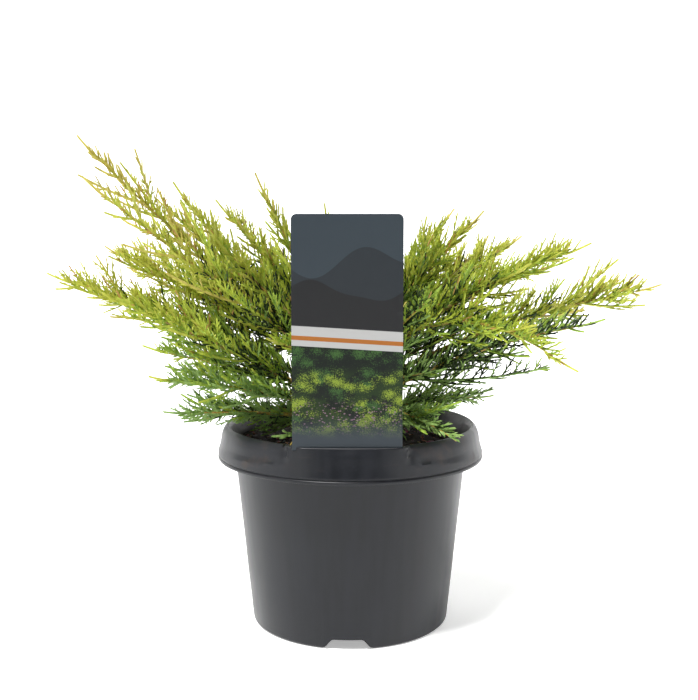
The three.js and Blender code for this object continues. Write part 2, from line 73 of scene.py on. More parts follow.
def put(name, data):
    made = bpy.data.objects.new(name, data)
    bpy.context.scene.collection.objects.link(made)
    return made


camera = put("camera", bpy.data.cameras.new("camera"))
camera.location = CAMERA_PLACE
camera.rotation_euler = (math.pi / 2 - CAMERA_PITCH, 0, 0)
camera.data.lens = CAMERA_LENS
camera.data.clip_start = 0.01
bpy.context.scene.camera = camera
print("camera at", tuple(camera.location))

# %% [markdown]
# Node trees read like sums when a socket behaves like a number. The small class below wraps a socket,
# and every operator on it adds a Math node. The other class fills a tree: its node method takes the
# kind of a node, the settings that are set first, and the values or links of its sockets.

# %% Sockets as numbers, and trees
class Wire:
    def __init__(self, tree, socket):
        self.tree = tree
        self.socket = socket

    def sum(self, operation, *values):
        return self.tree.node("ShaderNodeMath", {"operation": operation}, dict(enumerate(values)))

    def __add__(self, other):
        return self.sum("ADD", self, other)

    def __radd__(self, other):
        return self.sum("ADD", other, self)

    def __sub__(self, other):
        return self.sum("SUBTRACT", self, other)

    def __rsub__(self, other):
        return self.sum("SUBTRACT", other, self)

    def __mul__(self, other):
        return self.sum("MULTIPLY", self, other)

    def __rmul__(self, other):
        return self.sum("MULTIPLY", other, self)

    def __lt__(self, other):
        return self.sum("LESS_THAN", self, other)

    def sine(self):
        return self.sum("SINE", self)

    def size(self):
        return self.sum("ABSOLUTE", self)

    # 0 below the first value and 1 above the second, with a soft step between
    def rise(self, low, high):
        settings = {"interpolation_type": "SMOOTHSTEP"}
        values = {"Value": self, "From Min": low, "From Max": high}
        return self.tree.node("ShaderNodeMapRange", settings, values)


class Tree:
    def __init__(self, nodes_of):
        self.nodes_of = nodes_of

    # A list of wires goes into one socket, in its order, and a colour is given as three numbers
    def node(self, kind, settings=None, sockets=None, out=0):
        made = self.nodes_of.nodes.new(kind)
        for name, value in (settings or {}).items():
            setattr(made, name, value)
        for name, value in (sockets or {}).items():
            socket = made.inputs[name]
            if isinstance(value, (Wire, list)):
                for wire in value if isinstance(value, list) else [value]:
                    self.nodes_of.links.new(wire.socket, socket)
            elif socket.type == "RGBA":
                socket.default_value = (*value, 1)
            else:
                socket.default_value = value
        return Wire(self, made.outputs[out]) if made.outputs else None

    def wires(self, wire):
        return [Wire(self, socket) for socket in wire.socket.node.outputs]


# %% [markdown]
# A finish is a material whose tree ends in one Principled shader. Colours are written as they look
# on a screen and turned into linear light once. Patterns read Object coordinates, in metres.

# %% Finishes
def colour(text, dim=1.0):
    parts = [int(text[i : i + 2], 16) / 255 for i in (0, 2, 4)]
    return tuple(dim * (p / 12.92 if p <= 0.04045 else ((p + 0.055) / 1.055) ** 2.4) for p in parts)


class Finish(Tree):
    def __init__(self, name, roughness=0.5, specular=0.5, dim=1.0):
        self.material = bpy.data.materials.new(name)
        self.material.use_nodes = True
        super().__init__(self.material.node_tree)
        self.nodes_of.nodes.clear()
        values = {"Roughness": roughness, "Specular IOR Level": specular}
        shader = self.node("ShaderNodeBsdfPrincipled", {}, values)
        self.node("ShaderNodeOutputMaterial", {}, {"Surface": shader})
        self.inputs = shader.socket.node.inputs
        self.place = self.node("ShaderNodeTexCoord", out=3)
        self.dim = dim

    def axes(self):
        return self.wires(self.node("ShaderNodeSeparateXYZ", {}, {"Vector": self.place}))

    def stretched(self, x, y, z):
        return self.node("ShaderNodeMapping", {}, {"Vector": self.place, "Scale": (x, y, z)})

    def speckle(self, scale, detail=3.0, place=None):
        values = {"Vector": place or self.place, "Scale": scale, "Detail": detail}
        return self.node("ShaderNodeTexNoise", {}, values)

    def cells(self, scale, out=0, place=None):
        return self.node("ShaderNodeTexVoronoi", {}, {"Vector": place or self.place, "Scale": scale}, out)

    # An end is a wire, a written colour, which the finish dims, or a colour in linear light
    def mix(self, share, *ends):
        first, second = (colour(end, self.dim) if isinstance(end, str) else end for end in ends)
        return self.node("ShaderNodeMix", {"data_type": "RGBA"}, {0: share, 6: first, 7: second}, 2)

    def bump(self, height, strength, distance):
        values = {"Height": height, "Strength": strength, "Distance": distance}
        return self.node("ShaderNodeBump", {}, values)

    def finish(self, base, roughness=None, normal=None):
        for name, wire in (("Base Color", base), ("Roughness", roughness), ("Normal", normal)):
            if wire is not None:
                self.nodes_of.links.new(wire.socket, self.inputs[name])
        return self.material


# %% [markdown]
# What repeats or follows a path is made by Geometry Nodes. A recipe here is a node tree with named
# inputs for its sizes. It is put on a plain mesh, its inputs are set by their identifiers, and the
# evaluated result is taken as a new mesh, so that the finished piece carries no modifier.

# %% Recipes
def take_mesh(holder, *helpers):
    evaluated = holder.evaluated_get(bpy.context.evaluated_depsgraph_get())
    mesh = bpy.data.meshes.new_from_object(evaluated)
    for item in (holder, *helpers):
        bpy.data.objects.remove(item)
    return mesh


class Recipe(Tree):
    def __init__(self, name, **sizes):
        group = bpy.data.node_groups.new(name, "GeometryNodeTree")
        group.is_modifier = True
        super().__init__(group)
        face = group.interface
        face.new_socket("Geometry", in_out="INPUT", socket_type="NodeSocketGeometry")
        self.identifiers = {}
        for size, value in sizes.items():
            kind = {int: "NodeSocketInt", float: "NodeSocketFloat"}.get(type(value), "NodeSocketMaterial")
            socket = face.new_socket(size, in_out="INPUT", socket_type=kind)
            if value is not None:
                socket.default_value = value
            self.identifiers[size] = socket.identifier
        face.new_socket("Geometry", in_out="OUTPUT", socket_type="NodeSocketGeometry")
        self.sizes = dict(zip(["Geometry", *sizes], self.wires(self.node("NodeGroupInput"))))

    # A vector of chances has its sockets first in the node, and a number has them next
    def chance(self, low, high, seed):
        out = 0 if isinstance(low, tuple) else 1
        settings = {"data_type": ("FLOAT_VECTOR", "FLOAT")[out]}
        values = {2 * out: low, 2 * out + 1: high, "Seed": seed}
        return self.node("FunctionNodeRandomValue", settings, values, out)

    def scaled(self, vector, factor):
        return self.node("ShaderNodeVectorMath", {"operation": "SCALE"}, {0: vector, "Scale": factor})

    def twisted(self, rotation, **angles):
        euler = self.node("ShaderNodeCombineXYZ", {}, angles)
        turn = self.node("FunctionNodeEulerToRotation", {}, {0: euler})
        return self.node("FunctionNodeRotateRotation", {"rotation_space": "LOCAL"}, {0: rotation, 1: turn})

    def close(self, geometry):
        realized = self.node("GeometryNodeRealizeInstances", {}, {"Geometry": geometry})
        values = {"Geometry": realized, "Material": self.sizes["Material"]}
        painted = self.node("GeometryNodeSetMaterial", {}, values)
        self.node("NodeGroupOutput", {}, {"Geometry": painted})
        return self

    def make(self, name, base, **sizes):
        holder = put(name + "_base", base)
        modifier = holder.modifiers.new("recipe", "NODES")
        modifier.node_group = self.nodes_of
        for size, value in sizes.items():
            modifier[self.identifiers[size]] = value
        return take_mesh(holder)


# %% Pieces
def piece(name, mesh, slot, *nodes, material=None, smooth=True):
    if material:
        mesh.materials.clear()
        mesh.materials.append(material)
    mesh.polygons.foreach_set("use_smooth", [smooth] * len(mesh.polygons))
    made = put(name, mesh)
    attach(made, "root")
    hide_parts(*nodes)
    print(name, "has", sum(len(face.vertices) - 2 for face in mesh.polygons), "triangles")


# %% [markdown]
# The pot is thin black plastic, turned from one section: a straight tapering body, and a rim that
# rolls over the top and hangs down as a skirt with a bead at its edge. The section's corners are
# rounded, then turned round the axis. In front the upper band of the rim swells into a flat seat
# for the label. A lathe rule and a few sums on its points give both with an even mesh.

# %% Pot sizes
POT_HEIGHT = 143.0
FOOT_RADIUS = 70.5
BODY_TOP_RADIUS = 84.5
SKIRT_RADIUS = 95.0
SKIRT_FOOT = 119.0
WALL = 1.6
SEAT_GAP = 0.3
LABEL_WIDTH = 70.8
LABEL_HEIGHT = 148.0
LABEL_THICKNESS = 0.7
LABEL_FACE_Y = -87.2
LABEL_X = -2.0
SEAT_HALF_WIDTH = LABEL_WIDTH / 2 + 2.5
SEAT_FRONT_Y = LABEL_FACE_Y - 2.3
POT_SEGMENTS = 240


def body_radius(height):
    return FOOT_RADIUS + (BODY_TOP_RADIUS - FOOT_RADIUS) * height / (POT_HEIGHT - 4)


def step(value, low, high):
    share = np.clip((value - low) / (high - low), 0, 1)
    return share * share * (3 - 2 * share)


# %% Pot section, as radius, height and how far each corner is rounded
POT_SECTION = [
    (0, 0, 0),
    (FOOT_RADIUS - 1.4, 0, 0),
    (body_radius(1.2), 1.2, 0.8),
    (body_radius(40), 40, 0),
    (body_radius(80), 80, 0),
    (body_radius(POT_HEIGHT - 7), POT_HEIGHT - 7, 1),
    (BODY_TOP_RADIUS + 2, POT_HEIGHT - 2.6, 1),
    (SKIRT_RADIUS - 5.4, POT_HEIGHT - 5, 1),
    (SKIRT_RADIUS - 4.9, SKIRT_FOOT + 10, 1.5),
    (SKIRT_RADIUS - 1.6, SKIRT_FOOT + 3, 0.8),
    (SKIRT_RADIUS - 1.2, SKIRT_FOOT, 0.2),
    (SKIRT_RADIUS - 0.3, SKIRT_FOOT, 0.4),
    (SKIRT_RADIUS + 0.1, SKIRT_FOOT + 1.8, 0.6),
    (SKIRT_RADIUS - 0.9, SKIRT_FOOT + 2.6, 0.3),
    (SKIRT_RADIUS, SKIRT_FOOT + 4, 0.8),
    (SKIRT_RADIUS - 1.8, SKIRT_FOOT + 9.8, 2.5),
    (SKIRT_RADIUS - 3.1, POT_HEIGHT - 6, 2.5),
    (SKIRT_RADIUS - 5, POT_HEIGHT - 2, 1.4),
    (BODY_TOP_RADIUS + 3.0, POT_HEIGHT, 1.2),
    (BODY_TOP_RADIUS + 0.6, POT_HEIGHT - 3.2, 1.2),
    (body_radius(POT_HEIGHT - 12) - WALL, POT_HEIGHT - 12, 2),
    (body_radius(0) - WALL, WALL, 1.5),
    (0, WALL, 0),
]


def rounded(section):
    points = np.array([row[:2] for row in section], float)
    made = []
    for i, (radius, height, soft) in enumerate(section):
        if soft == 0:
            made.append((radius, height))
            continue
        here, ends = points[i], []
        for other in (points[i - 1], points[i + 1]):
            gap = np.linalg.norm(other - here)
            ends.append(here + (other - here) / gap * min(soft, gap * 0.45))
        for share in (0, 0.33, 0.67, 1):
            rest = 1 - share
            made.append(tuple(rest**2 * ends[0] + 2 * share * rest * here + share**2 * ends[1]))
    return np.array(made)


# %% Turn a section round the axis
def turned(section, segments):
    turns = np.arange(segments) * 2 * math.pi / segments
    points, rings = [], []
    for radius, height in section:
        start = len(points)
        if radius < 1e-6:
            points.append((0.0, 0.0, height))
            rings.append([start] * segments)
        else:
            points.extend((radius * math.sin(t), -radius * math.cos(t), height) for t in turns)
            rings.append(list(range(start, start + segments)))
    faces = []
    for low, high in zip(rings, rings[1:]):
        for i in range(segments):
            j = (i + 1) % segments
            corners = [low[i], low[j], high[j], high[i]]
            faces.append([c for k, c in enumerate(corners) if c not in corners[:k]])
    return np.array(points), faces


def mesh_of(name, points, faces):
    mesh = bpy.data.meshes.new(name)
    mesh.from_pydata([tuple(p) for p in np.asarray(points) * MM], [], faces)
    mesh.validate()
    return mesh


def outwards(mesh):
    shape = bmesh.new()
    shape.from_mesh(mesh)
    bmesh.ops.recalc_face_normals(shape, faces=shape.faces)
    shape.to_mesh(mesh)
    shape.free()


# %% Swell the rim into the label's seat
SKIRT_MIDDLE = np.array([(119, 94.25), (122, 94.2), (129, 90.8), (137.5, 90.5), (141, 88.0), (144, 86.0)])


# The seat is flat in its upper band, and grows wider and softer as it runs down into the skirt
def with_seat(points):
    x, y, height = points.T
    radius = np.hypot(x, y)
    outside = (radius > np.interp(height, *SKIRT_MIDDLE.T)) & (height > SKIRT_FOOT + 3)
    offside = np.abs(x - LABEL_X)
    low_down = step(POT_HEIGHT - 5 - height, 1.5, 11.5)
    half = SEAT_HALF_WIDTH + 34 * low_down**3
    soft = 1.6 + 26 * low_down**3
    weight = (1 - step(offside, half, half + soft)) * (y < 0) * outside
    plane = SEAT_FRONT_Y + 1.2 * step(height, POT_HEIGHT - 1.1, POT_HEIGHT)
    flat = np.minimum(SKIRT_RADIUS - 0.4, plane / np.minimum(y / np.maximum(radius, 1), -0.5))
    drop = (POT_HEIGHT - height) / (POT_HEIGHT - SKIRT_FOOT - 3.4)
    target = flat + (SKIRT_RADIUS - flat) * drop
    target = radius + ((target - radius) + np.sqrt((target - radius) ** 2 + 0.16)) / 2 - 0.2
    scale = 1 + (target / np.maximum(radius, 1) - 1) * weight
    return np.column_stack([x * scale, y * scale, height])


# %% [markdown]
# Under the pot three shallow channels run from the edge to the drain holes. On the real pot they are
# pressed into the floor. Here a tapering roof is added inside for each, then a tapering block is cut
# out under it, with Booleans. The slot for the label is cut out of the rim in the same way.

# %% Blocks for the drain channels and the slot
CHANNEL_COUNT = 3
CHANNEL_HEIGHT = 7.0
CHANNEL_INNER = 42.0
CHANNEL_FOOT_WIDTH = 35.0
CHANNEL_ROOF_WIDTH = 23.0
DRAIN_RADIUS = 4.5
DRAIN_PLACE = CHANNEL_INNER + 7
TAB_HALF = LABEL_WIDTH * 0.36
SLOT_HALF_DEPTH = 0.6
channel_angles = [math.radians(LABEL_X / 1.3 + 360 * i / CHANNEL_COUNT) for i in range(CHANNEL_COUNT)]


def prism(outline, near, far):
    points = [(x, y, z) for y in (near, far) for x, z in outline]
    count = len(outline)
    faces = [list(range(count)), list(range(2 * count - 1, count - 1, -1))]
    faces += [[(i + 1) % count, i, count + i, count + (i + 1) % count] for i in range(count)]
    return np.array(points), faces


def channel_block(angle, margin, reach, bottom):
    foot, roof = CHANNEL_FOOT_WIDTH / 2 + margin, CHANNEL_ROOF_WIDTH / 2 + margin
    top, soft = CHANNEL_HEIGHT + margin, 2.2
    right = [
        (foot, bottom), (foot - 0.4, 0.3), (foot - 1.9, 1.0), (foot - 3.2, 2.3),
        (roof + soft * 0.4, top - soft), (roof - soft * 0.3, top - 0.5), (roof - soft, top),
    ]
    outline = [(-x, z) for x, z in right] + right[::-1]
    points, faces = prism(outline, -(CHANNEL_INNER - margin), -reach)
    across, along = math.cos(angle), math.sin(angle)
    turn = np.array([[across, -along, 0], [along, across, 0], [0, 0, 1]])
    return points @ turn.T, faces


def drain_block(angle):
    section = np.array([(0, -1), (DRAIN_RADIUS, -1), (DRAIN_RADIUS, 14), (0, 14)], float)
    points, faces = turned(section, 24)
    return points + np.array([DRAIN_PLACE * math.sin(angle), -DRAIN_PLACE * math.cos(angle), 0]), faces


def slot_block(half, depth):
    walls = (LABEL_FACE_Y - SLOT_HALF_DEPTH, LABEL_FACE_Y + SLOT_HALF_DEPTH)
    heights = (POT_HEIGHT - depth, POT_HEIGHT + 1.5)
    points = [(x, y, z) for z in heights for y in walls for x in (LABEL_X - half, LABEL_X + half)]
    faces = [[0, 2, 3, 1], [4, 5, 7, 6], [0, 1, 5, 4], [2, 6, 7, 3], [0, 4, 6, 2], [1, 3, 7, 5]]
    return np.array(points), faces


# %% Make the pot's mesh
def cut(mesh, blocks, operation):
    holder = put("pot_cut", mesh)
    helpers = []
    for points, faces in blocks:
        helper = put("block", mesh_of("block", points, faces))
        outwards(helper.data)
        modifier = holder.modifiers.new("cut", "BOOLEAN")
        modifier.operation = operation
        modifier.object = helper
        modifier.solver = "EXACT"
        helpers.append(helper)
    return take_mesh(holder, *helpers)


pot_points, pot_faces = turned(rounded(POT_SECTION), POT_SEGMENTS)
pot_mesh = mesh_of("pot", with_seat(pot_points), pot_faces)
outwards(pot_mesh)
roofs = [channel_block(angle, WALL, body_radius(0) - 0.6, 0.4) for angle in channel_angles]
pot_mesh = cut(pot_mesh, roofs, "UNION")
blocks = [channel_block(angle, 0, FOOT_RADIUS + 10, -1) for angle in channel_angles]
blocks += [drain_block(angle) for angle in channel_angles]
blocks += [slot_block(TAB_HALF + 0.4, 17.5), slot_block(LABEL_WIDTH / 2 + 0.3, 2.7)]
pot_mesh = cut(pot_mesh, blocks, "DIFFERENCE")
print("pot has", len(pot_mesh.polygons), "faces")

# %% [markdown]
# Nursery pots are pressed from recycled black plastic. It is dark grey with a satin skin, faint
# streaks down the body where it left the mould, and brownish soil dust that settles on the rim. The
# streaks are noise stretched along the height, and masks keep the dust to the rim and paint the wall
# inside it near black-brown, partly as soil stain and partly as painted shade.

# %% Pot finish
def pot_plastic():
    finish = Finish("pot_plastic", specular=0.3)
    x, y, z = finish.axes()
    streaks = finish.speckle(1.0, 4, finish.stretched(150, 150, 9))
    grain = finish.speckle(1400, 2)
    cloud = finish.speckle(24, 3)
    tone = (streaks * 0.6 + cloud * 0.4).rise(0.3, 0.7)
    body = finish.mix(tone, "101216", "17191e")
    on_rim = z.rise(0.117, 0.124)
    aside = (x - LABEL_X * MM).size().rise(0.03, 0.07)
    dust = on_rim * aside * finish.speckle(75, 6).rise(0.5, 0.75) * 0.34
    scuffs = finish.speckle(1.0, 5, finish.stretched(60, 60, 400)).rise(0.6, 0.8) * on_rim * 0.16
    dust_and_shade = finish.mix(dust + scuffs, body, "4e4037")
    # The wall inside the rim is painted near black-brown: partly soil stain, partly painted shade of the
    # pot's dark inside
    inside = (1 - (x * x + y * y).rise(0.0856**2, 0.087**2)) * z.rise(0.118, 0.122)
    dust_and_shade = finish.mix(inside * 0.85, dust_and_shade, "120d0a")
    rough = 0.36 + tone * 0.08 + dust * 0.5
    return finish.finish(dust_and_shade, rough, finish.bump(grain * 0.5 + streaks * 0.5, 0.12, 0.0004))


piece("nursery_pot", pot_mesh, "pot", "pot", material=pot_plastic())
pot_mesh.set_sharp_from_angle(angle=math.radians(40))

# %% [markdown]
# The growing medium is bark and peat. Its top is a shallow mound that sinks to the wall, roughened
# by fractal noise, with crumbs and chips strewn over it by a recipe with a fixed seed.

# %% Growing medium
SOIL_EDGE = 130.0
SOIL_CROWN = 135.5
SOIL_FLOOR = 12.0
SOIL_RINGS = 46
SOIL_SEGMENTS = 120


def soil_height(x, y):
    radius, place = math.hypot(x, y), Vector((x, y, 0))
    share = radius / (body_radius(SOIL_EDGE) - WALL)
    mound = SOIL_CROWN - (SOIL_CROWN - SOIL_EDGE) * share**2
    lumps = noise.fractal(place * 0.09, 1.0, 2.0, 4) * 1.5
    lumps += noise.fractal(place * 0.4, 0.8, 2.0, 3) * 0.7
    near_trunk = 1 - 0.8 * math.exp(-((radius / 14) ** 2))
    return mound + lumps * near_trunk - 0.6


wall_radius = body_radius(SOIL_EDGE) - WALL - SEAT_GAP
soil_section = [(0, SOIL_FLOOR), (body_radius(SOIL_FLOOR) - WALL - SEAT_GAP, SOIL_FLOOR)]
soil_section += [(wall_radius * (1 - i / SOIL_RINGS), SOIL_EDGE) for i in range(SOIL_RINGS + 1)]
soil_points, soil_faces = turned(np.array(soil_section), SOIL_SEGMENTS)
for point in soil_points:
    if point[2] > SOIL_FLOOR:
        point[2] = soil_height(point[0], point[1])
soil_mesh = mesh_of("soil", soil_points, soil_faces)
outwards(soil_mesh)
near_wall = np.hypot(soil_points[:, 0], soil_points[:, 1]) > wall_radius - 1.5
top_faces = [f for f in soil_faces if soil_points[f, 2].min() > SOIL_FLOOR + 1 and not near_wall[f].any()]
soil_top = mesh_of("soil_top", soil_points, top_faces)


# %% Chips strewn over the growing medium
def chip_recipe():
    recipe = Recipe("strewn_chips", Density=60000.0, Smallest=0.3, Largest=1.0, Seed=4, Material=None)
    size = recipe.sizes
    values = {"Mesh": size["Geometry"], "Density": size["Density"], "Seed": size["Seed"]}
    points = recipe.node("GeometryNodeDistributePointsOnFaces", {}, values)
    chip = recipe.node("GeometryNodeMeshIcoSphere", {}, {"Radius": 2.5 * MM, "Subdivisions": 1})
    turn = recipe.chance((-0.5, -0.5, 0.0), (0.5, 0.5, 6.28), size["Seed"])
    flat = recipe.chance((0.5, 0.3, 0.16), (1.5, 0.7, 0.34), 9)
    scale = recipe.scaled(flat, recipe.chance(size["Smallest"], size["Largest"], 5))
    values = {"Points": points, "Instance": chip, "Rotation": turn, "Scale": scale}
    return recipe.close(recipe.node("GeometryNodeInstanceOnPoints", {}, values))


def soil_finish(name, dark, light, scale, flecked=False):
    finish = Finish(name, roughness=0.9, specular=0.15)
    base = finish.mix(finish.speckle(scale, 5).rise(0.35, 0.7), dark, light)
    if flecked:
        base = finish.mix(0.25, base, finish.mix(0.6, finish.cells(scale * 1.7, 1), light))
    return finish.finish(base, None, finish.bump(finish.speckle(1600, 4), 0.6, 0.0006))


def strew(name, finish, **sizes):
    mesh = strewing.make(name, soil_top, Material=finish, **sizes)
    piece(name, mesh, "growing_medium", "growing_medium", smooth=False)


peat = soil_finish("moist_peat", "0d0806", "1e130d", 260)
piece("growing_medium_crumbs", soil_mesh, "growing_medium", "growing_medium", material=peat)
strewing = chip_recipe()
strew("bark_chips", soil_finish("bark_chips", "38201a", "6e3e2e", 300, flecked=True), Density=36000.0)
crumbs = soil_finish("peat_crumbs", "120b08", "2a1a12", 500)
strew("peat_crumbs", crumbs, Density=70000.0, Smallest=0.15, Largest=0.45, Seed=8)

# %% [markdown]
# The label is a printed plastic card that stands in a slot of the rim. Its outline is drawn once
# with rounded top corners and a narrower tab, and thickened with a small bevel on the edges.

# %% Label card
LABEL_CORNER = 3.5
CORNER_STEPS = 8
CARD_SUNK = 2.4
TAB_DEPTH = 17
BEVEL_WIDTH = 0.15 * MM


def label_outline():
    half, foot, top = LABEL_WIDTH / 2, POT_HEIGHT - CARD_SUNK, POT_HEIGHT + SEAT_GAP + LABEL_HEIGHT
    points = [(-TAB_HALF, foot - TAB_DEPTH), (TAB_HALF, foot - TAB_DEPTH), (TAB_HALF, foot), (half, foot)]
    for side, begin in ((1, 0), (-1, 90)):
        x, z = side * (half - LABEL_CORNER), top - LABEL_CORNER
        for i in range(CORNER_STEPS + 1):
            turn = math.radians(begin + 90 * i / CORNER_STEPS)
            points.append((x + LABEL_CORNER * math.cos(turn), z + LABEL_CORNER * math.sin(turn)))
    points += [(-half, foot), (-TAB_HALF, foot)]
    return [(LABEL_X + x, z) for x, z in points]


def label_mesh():
    faces_y = (LABEL_FACE_Y - LABEL_THICKNESS / 2, LABEL_FACE_Y + LABEL_THICKNESS / 2)
    mesh = mesh_of("label", *prism(label_outline(), *faces_y))
    outwards(mesh)
    holder = put("label_holder", mesh)
    bevel = holder.modifiers.new("bevel", "BEVEL")
    bevel.width = BEVEL_WIDTH
    bevel.segments = 2
    bevel.limit_method = "ANGLE"
    return take_mesh(holder)


# %% [markdown]
# The print is generic: rolling hills in slate above, a straight white band with an orange line, and
# a bed of rounded green mounds with small pale dots below that fades to slate. Each hill's edge is a
# step of the height against a sum of sines, and the mounds and dots are Voronoi cells. The back of
# the card is plain.

# %% Label print
PRINT_DIM = 0.37
EDGE = 0.0003


def label_print():
    finish = Finish("label_print", roughness=0.42, specular=0.2, dim=PRINT_DIM)
    x, y, z = finish.axes()
    far = 0.262 + (x * 105 + 0.8).sine() * 0.0068 + (x * 41).sine() * 0.0052
    near = 0.243 + (x * 78 + 3.6).sine() * 0.0060 + (x * 190).sine() * 0.0012
    ground = finish.mix((z - far).rise(-EDGE, EDGE), "3d444a", "4b5760")
    ground = finish.mix((z - near).rise(-EDGE, EDGE), "333436", ground)
    mounds = finish.stretched(1.0, 0.0, 1.5)
    cell = finish.cells(105, 0, mounds)
    leaf = finish.speckle(1500, 2)
    bright = (1.1 - cell * 1.4 + (leaf - 0.5) * 2.4).rise(0.2, 0.95)
    row = (finish.speckle(46, 2, mounds) + (leaf - 0.5) * 0.3).rise(0.44, 0.52)
    green = finish.mix(bright, "2a431c", "b4cf46")
    shade = finish.mix(bright, "121f16", "4f7c3a")
    bed = finish.mix(row * (1 - z.rise(0.186, 0.196)), shade, green)
    petals = (finish.cells(420, 0, mounds) < 0.26) * (1 - z.rise(0.164, 0.176))
    bed = finish.mix(petals * 0.75, bed, "c69bb4")
    bed = finish.mix(1 - z.rise(0.147, 0.166), bed, "4d575f")
    band = 0.2125 - x * 0.06
    white = (z - band).size().rise(0.0062, 0.0065)
    orange = (z - band + 0.0012).size().rise(0.0013, 0.0015)
    front = finish.mix((z - band).rise(-EDGE, EDGE), bed, ground)
    front = finish.mix(1 - white, front, "f4f4f2")
    front = finish.mix(1 - orange, front, "e08a3c")
    behind = y.rise(LABEL_FACE_Y * MM - 0.0001, LABEL_FACE_Y * MM + 0.0001)
    back = finish.mix(finish.speckle(30, 2), colour("d4d5d3"), colour("dfdfdd"))
    grain = finish.bump(finish.speckle(700, 2), 0.05, 0.0003)
    return finish.finish(finish.mix(behind, front, back), None, grain)


piece("plant_label", label_mesh(), "label", "label_card", material=label_print(), smooth=False)

# %% [markdown]
# The shrub grows by the rule that its solids grew by. Each limb is one curve from its parent to its
# tip, with a bare share and a leafy share. The table gives each limb's name, its parent, the share
# of the parent where it starts, the compass angle, reach and height of its tip, how far its middle
# is lifted, and its bare share.

# %% Limbs
TRUNK_FOOT = 135.8
TRUNK_HEIGHT = 46.0
TRUNK_RADIUS = 8.0
TRUNK_LEAN = np.array([-4.0, 2.0, 0.0])
TIP_REACH = 15.0
FORK_REACH = 14
UP = np.array([0.0, 0.0, 1.0])
LIMBS = [
    ("top_left", "trunk", 0.84, 180, 194, 346, -10, 0.19),
    ("far_left", "trunk", 0.42, 174, 225, 249, 16, 0.19),
    ("left_back", "trunk", 0.66, 158, 208, 267, 12, 0.18),
    ("left_front", "trunk", 0.3, -160, 176, 240, 6, 0.18),
    ("crown_front", "trunk", 0.98, -160, 70, 320, 6, 0.13),
    ("crown_back", "trunk", 0.93, 112, 52, 300, 8, 0.13),
    ("crown_right", "trunk", 0.9, 24, 84, 296, 14, 0.15),
    ("far_right", "trunk", 0.52, -1, 222, 243, 24, 0.19),
    ("right_high", "trunk", 0.76, -16, 168, 274, 24, 0.17),
    ("right_mid", "trunk", 0.3, -20, 180, 224, 20, 0.18),
    ("front_right", "trunk", 0.62, -50, 92, 246, 10, 0.16),
    ("front_left", "trunk", 0.7, -124, 98, 214, 14, 0.16),
    ("back_left", "trunk", 0.38, 128, 178, 258, 14, 0.18),
    ("back_mid", "trunk", 0.56, 94, 176, 250, 18, 0.18),
    ("back_right", "trunk", 0.44, 60, 172, 262, 14, 0.18),
    ("top_left_front", "top_left", 0.5, -164, 186, 316, -4, 0.11),
    ("upper_left", "crown_front", 0.55, -168, 126, 312, 0, 0.09),
    ("crown_left", "top_left", 0.4, 158, 108, 304, 4, 0.1),
    ("upper_left_back", "left_back", 0.5, 150, 176, 304, 0, 0.11),
    ("left_low", "far_left", 0.55, 182, 152, 198, 0, 0.11),
    ("right_back", "far_right", 0.4, 27, 148, 276, 14, 0.12),
    ("upper_right", "right_high", 0.5, -6, 94, 296, 8, 0.11),
    ("left_under", "trunk", 0.26, -152, 152, 186, 8, 0),
    ("right_drop", "trunk", 0.7, -31, 174, 198, 74, 0),
    ("left_rim", "trunk", 0.14, 172, 128, 140, 18, 0),
    ("right_rim", "trunk", 0.14, 26, 126, 153, 12, 0),
    ("back_rim", "trunk", 0.14, 104, 128, 176, 12, 0),
    ("front_left_rim", "trunk", 0.2, -115, 107, 143, 22, 0),
    ("front_right_rim", "trunk", 0.26, -48, 118, 144, 20, 0),
    ("front_mid", "trunk", 0.8, -92, 66, 252, 12, 0),
    ("left_inner", "trunk", 0.3, 176, 138, 182, 8, 0),
    ("left_foot", "trunk", 0.12, -160, 138, 158, 8, 0),
    ("right_inner", "trunk", 0.62, -6, 116, 226, 10, 0),
    ("front_right_low", "trunk", 0.4, -46, 92, 192, 12, 0),
]
FOLIAGE_NODES = ["foliage_" + row[0] for row in LIMBS]
BOUGH_NODES = ["bough_" + row[0] for row in LIMBS if row[7] > 0]


def unit(vectors):
    lengths = np.linalg.norm(vectors, axis=-1, keepdims=True)
    return vectors / np.maximum(lengths, 1e-9)


class Bend:
    """A quadratic curve of three points, in millimetres."""

    def __init__(self, start, middle, end):
        self.start, self.middle, self.end = (np.asarray(p, float) for p in (start, middle, end))
        self.length = np.linalg.norm(np.diff(self.at(np.linspace(0, 1, 201)), axis=0), axis=1).sum()

    def at(self, share):
        t = np.asarray(share, float)[..., None]
        return (1 - t) ** 2 * self.start + 2 * t * (1 - t) * self.middle + t**2 * self.end

    def along(self, share):
        t = np.asarray(share, float)[..., None]
        return unit((1 - t) * (self.middle - self.start) + t * (self.end - self.middle))


trunk_curve = Bend(
    (0, 0, TRUNK_FOOT),
    (-TRUNK_LEAN[0] * 0.3, 0, TRUNK_FOOT + TRUNK_HEIGHT * 0.5),
    TRUNK_LEAN + (0, 0, TRUNK_FOOT + TRUNK_HEIGHT),
)


class Limb:
    def __init__(self, row, grown):
        self.name, parent, along, angle, reach, height, lift, self.share = row
        fork = grown.get(parent)
        start = fork.curve.at(fork.share * along) if fork else trunk_curve.at(along)
        turn = math.radians(angle)
        tip = np.array([reach * math.cos(turn), reach * math.sin(turn), height])
        tip = tip - unit(tip - start) * TIP_REACH
        middle = start + (tip - start) * 0.45 + lift * UP
        if fork:
            middle = middle + FORK_REACH * unit((tip - fork.curve.at(1)) * (1, 1, 0))
        self.curve = Bend(start, middle, tip)
        self.foot = 2.2 if fork else 3.0
        self.clear = self.share + SEAT_GAP / self.curve.length if self.share > 0 else 0.0
        self.stem_length = self.curve.length * (1 - self.clear)
        self.first_shoot = 3 if self.share > 0 else 22

    def radius(self, share):
        return self.foot * (1 - share) + 0.5


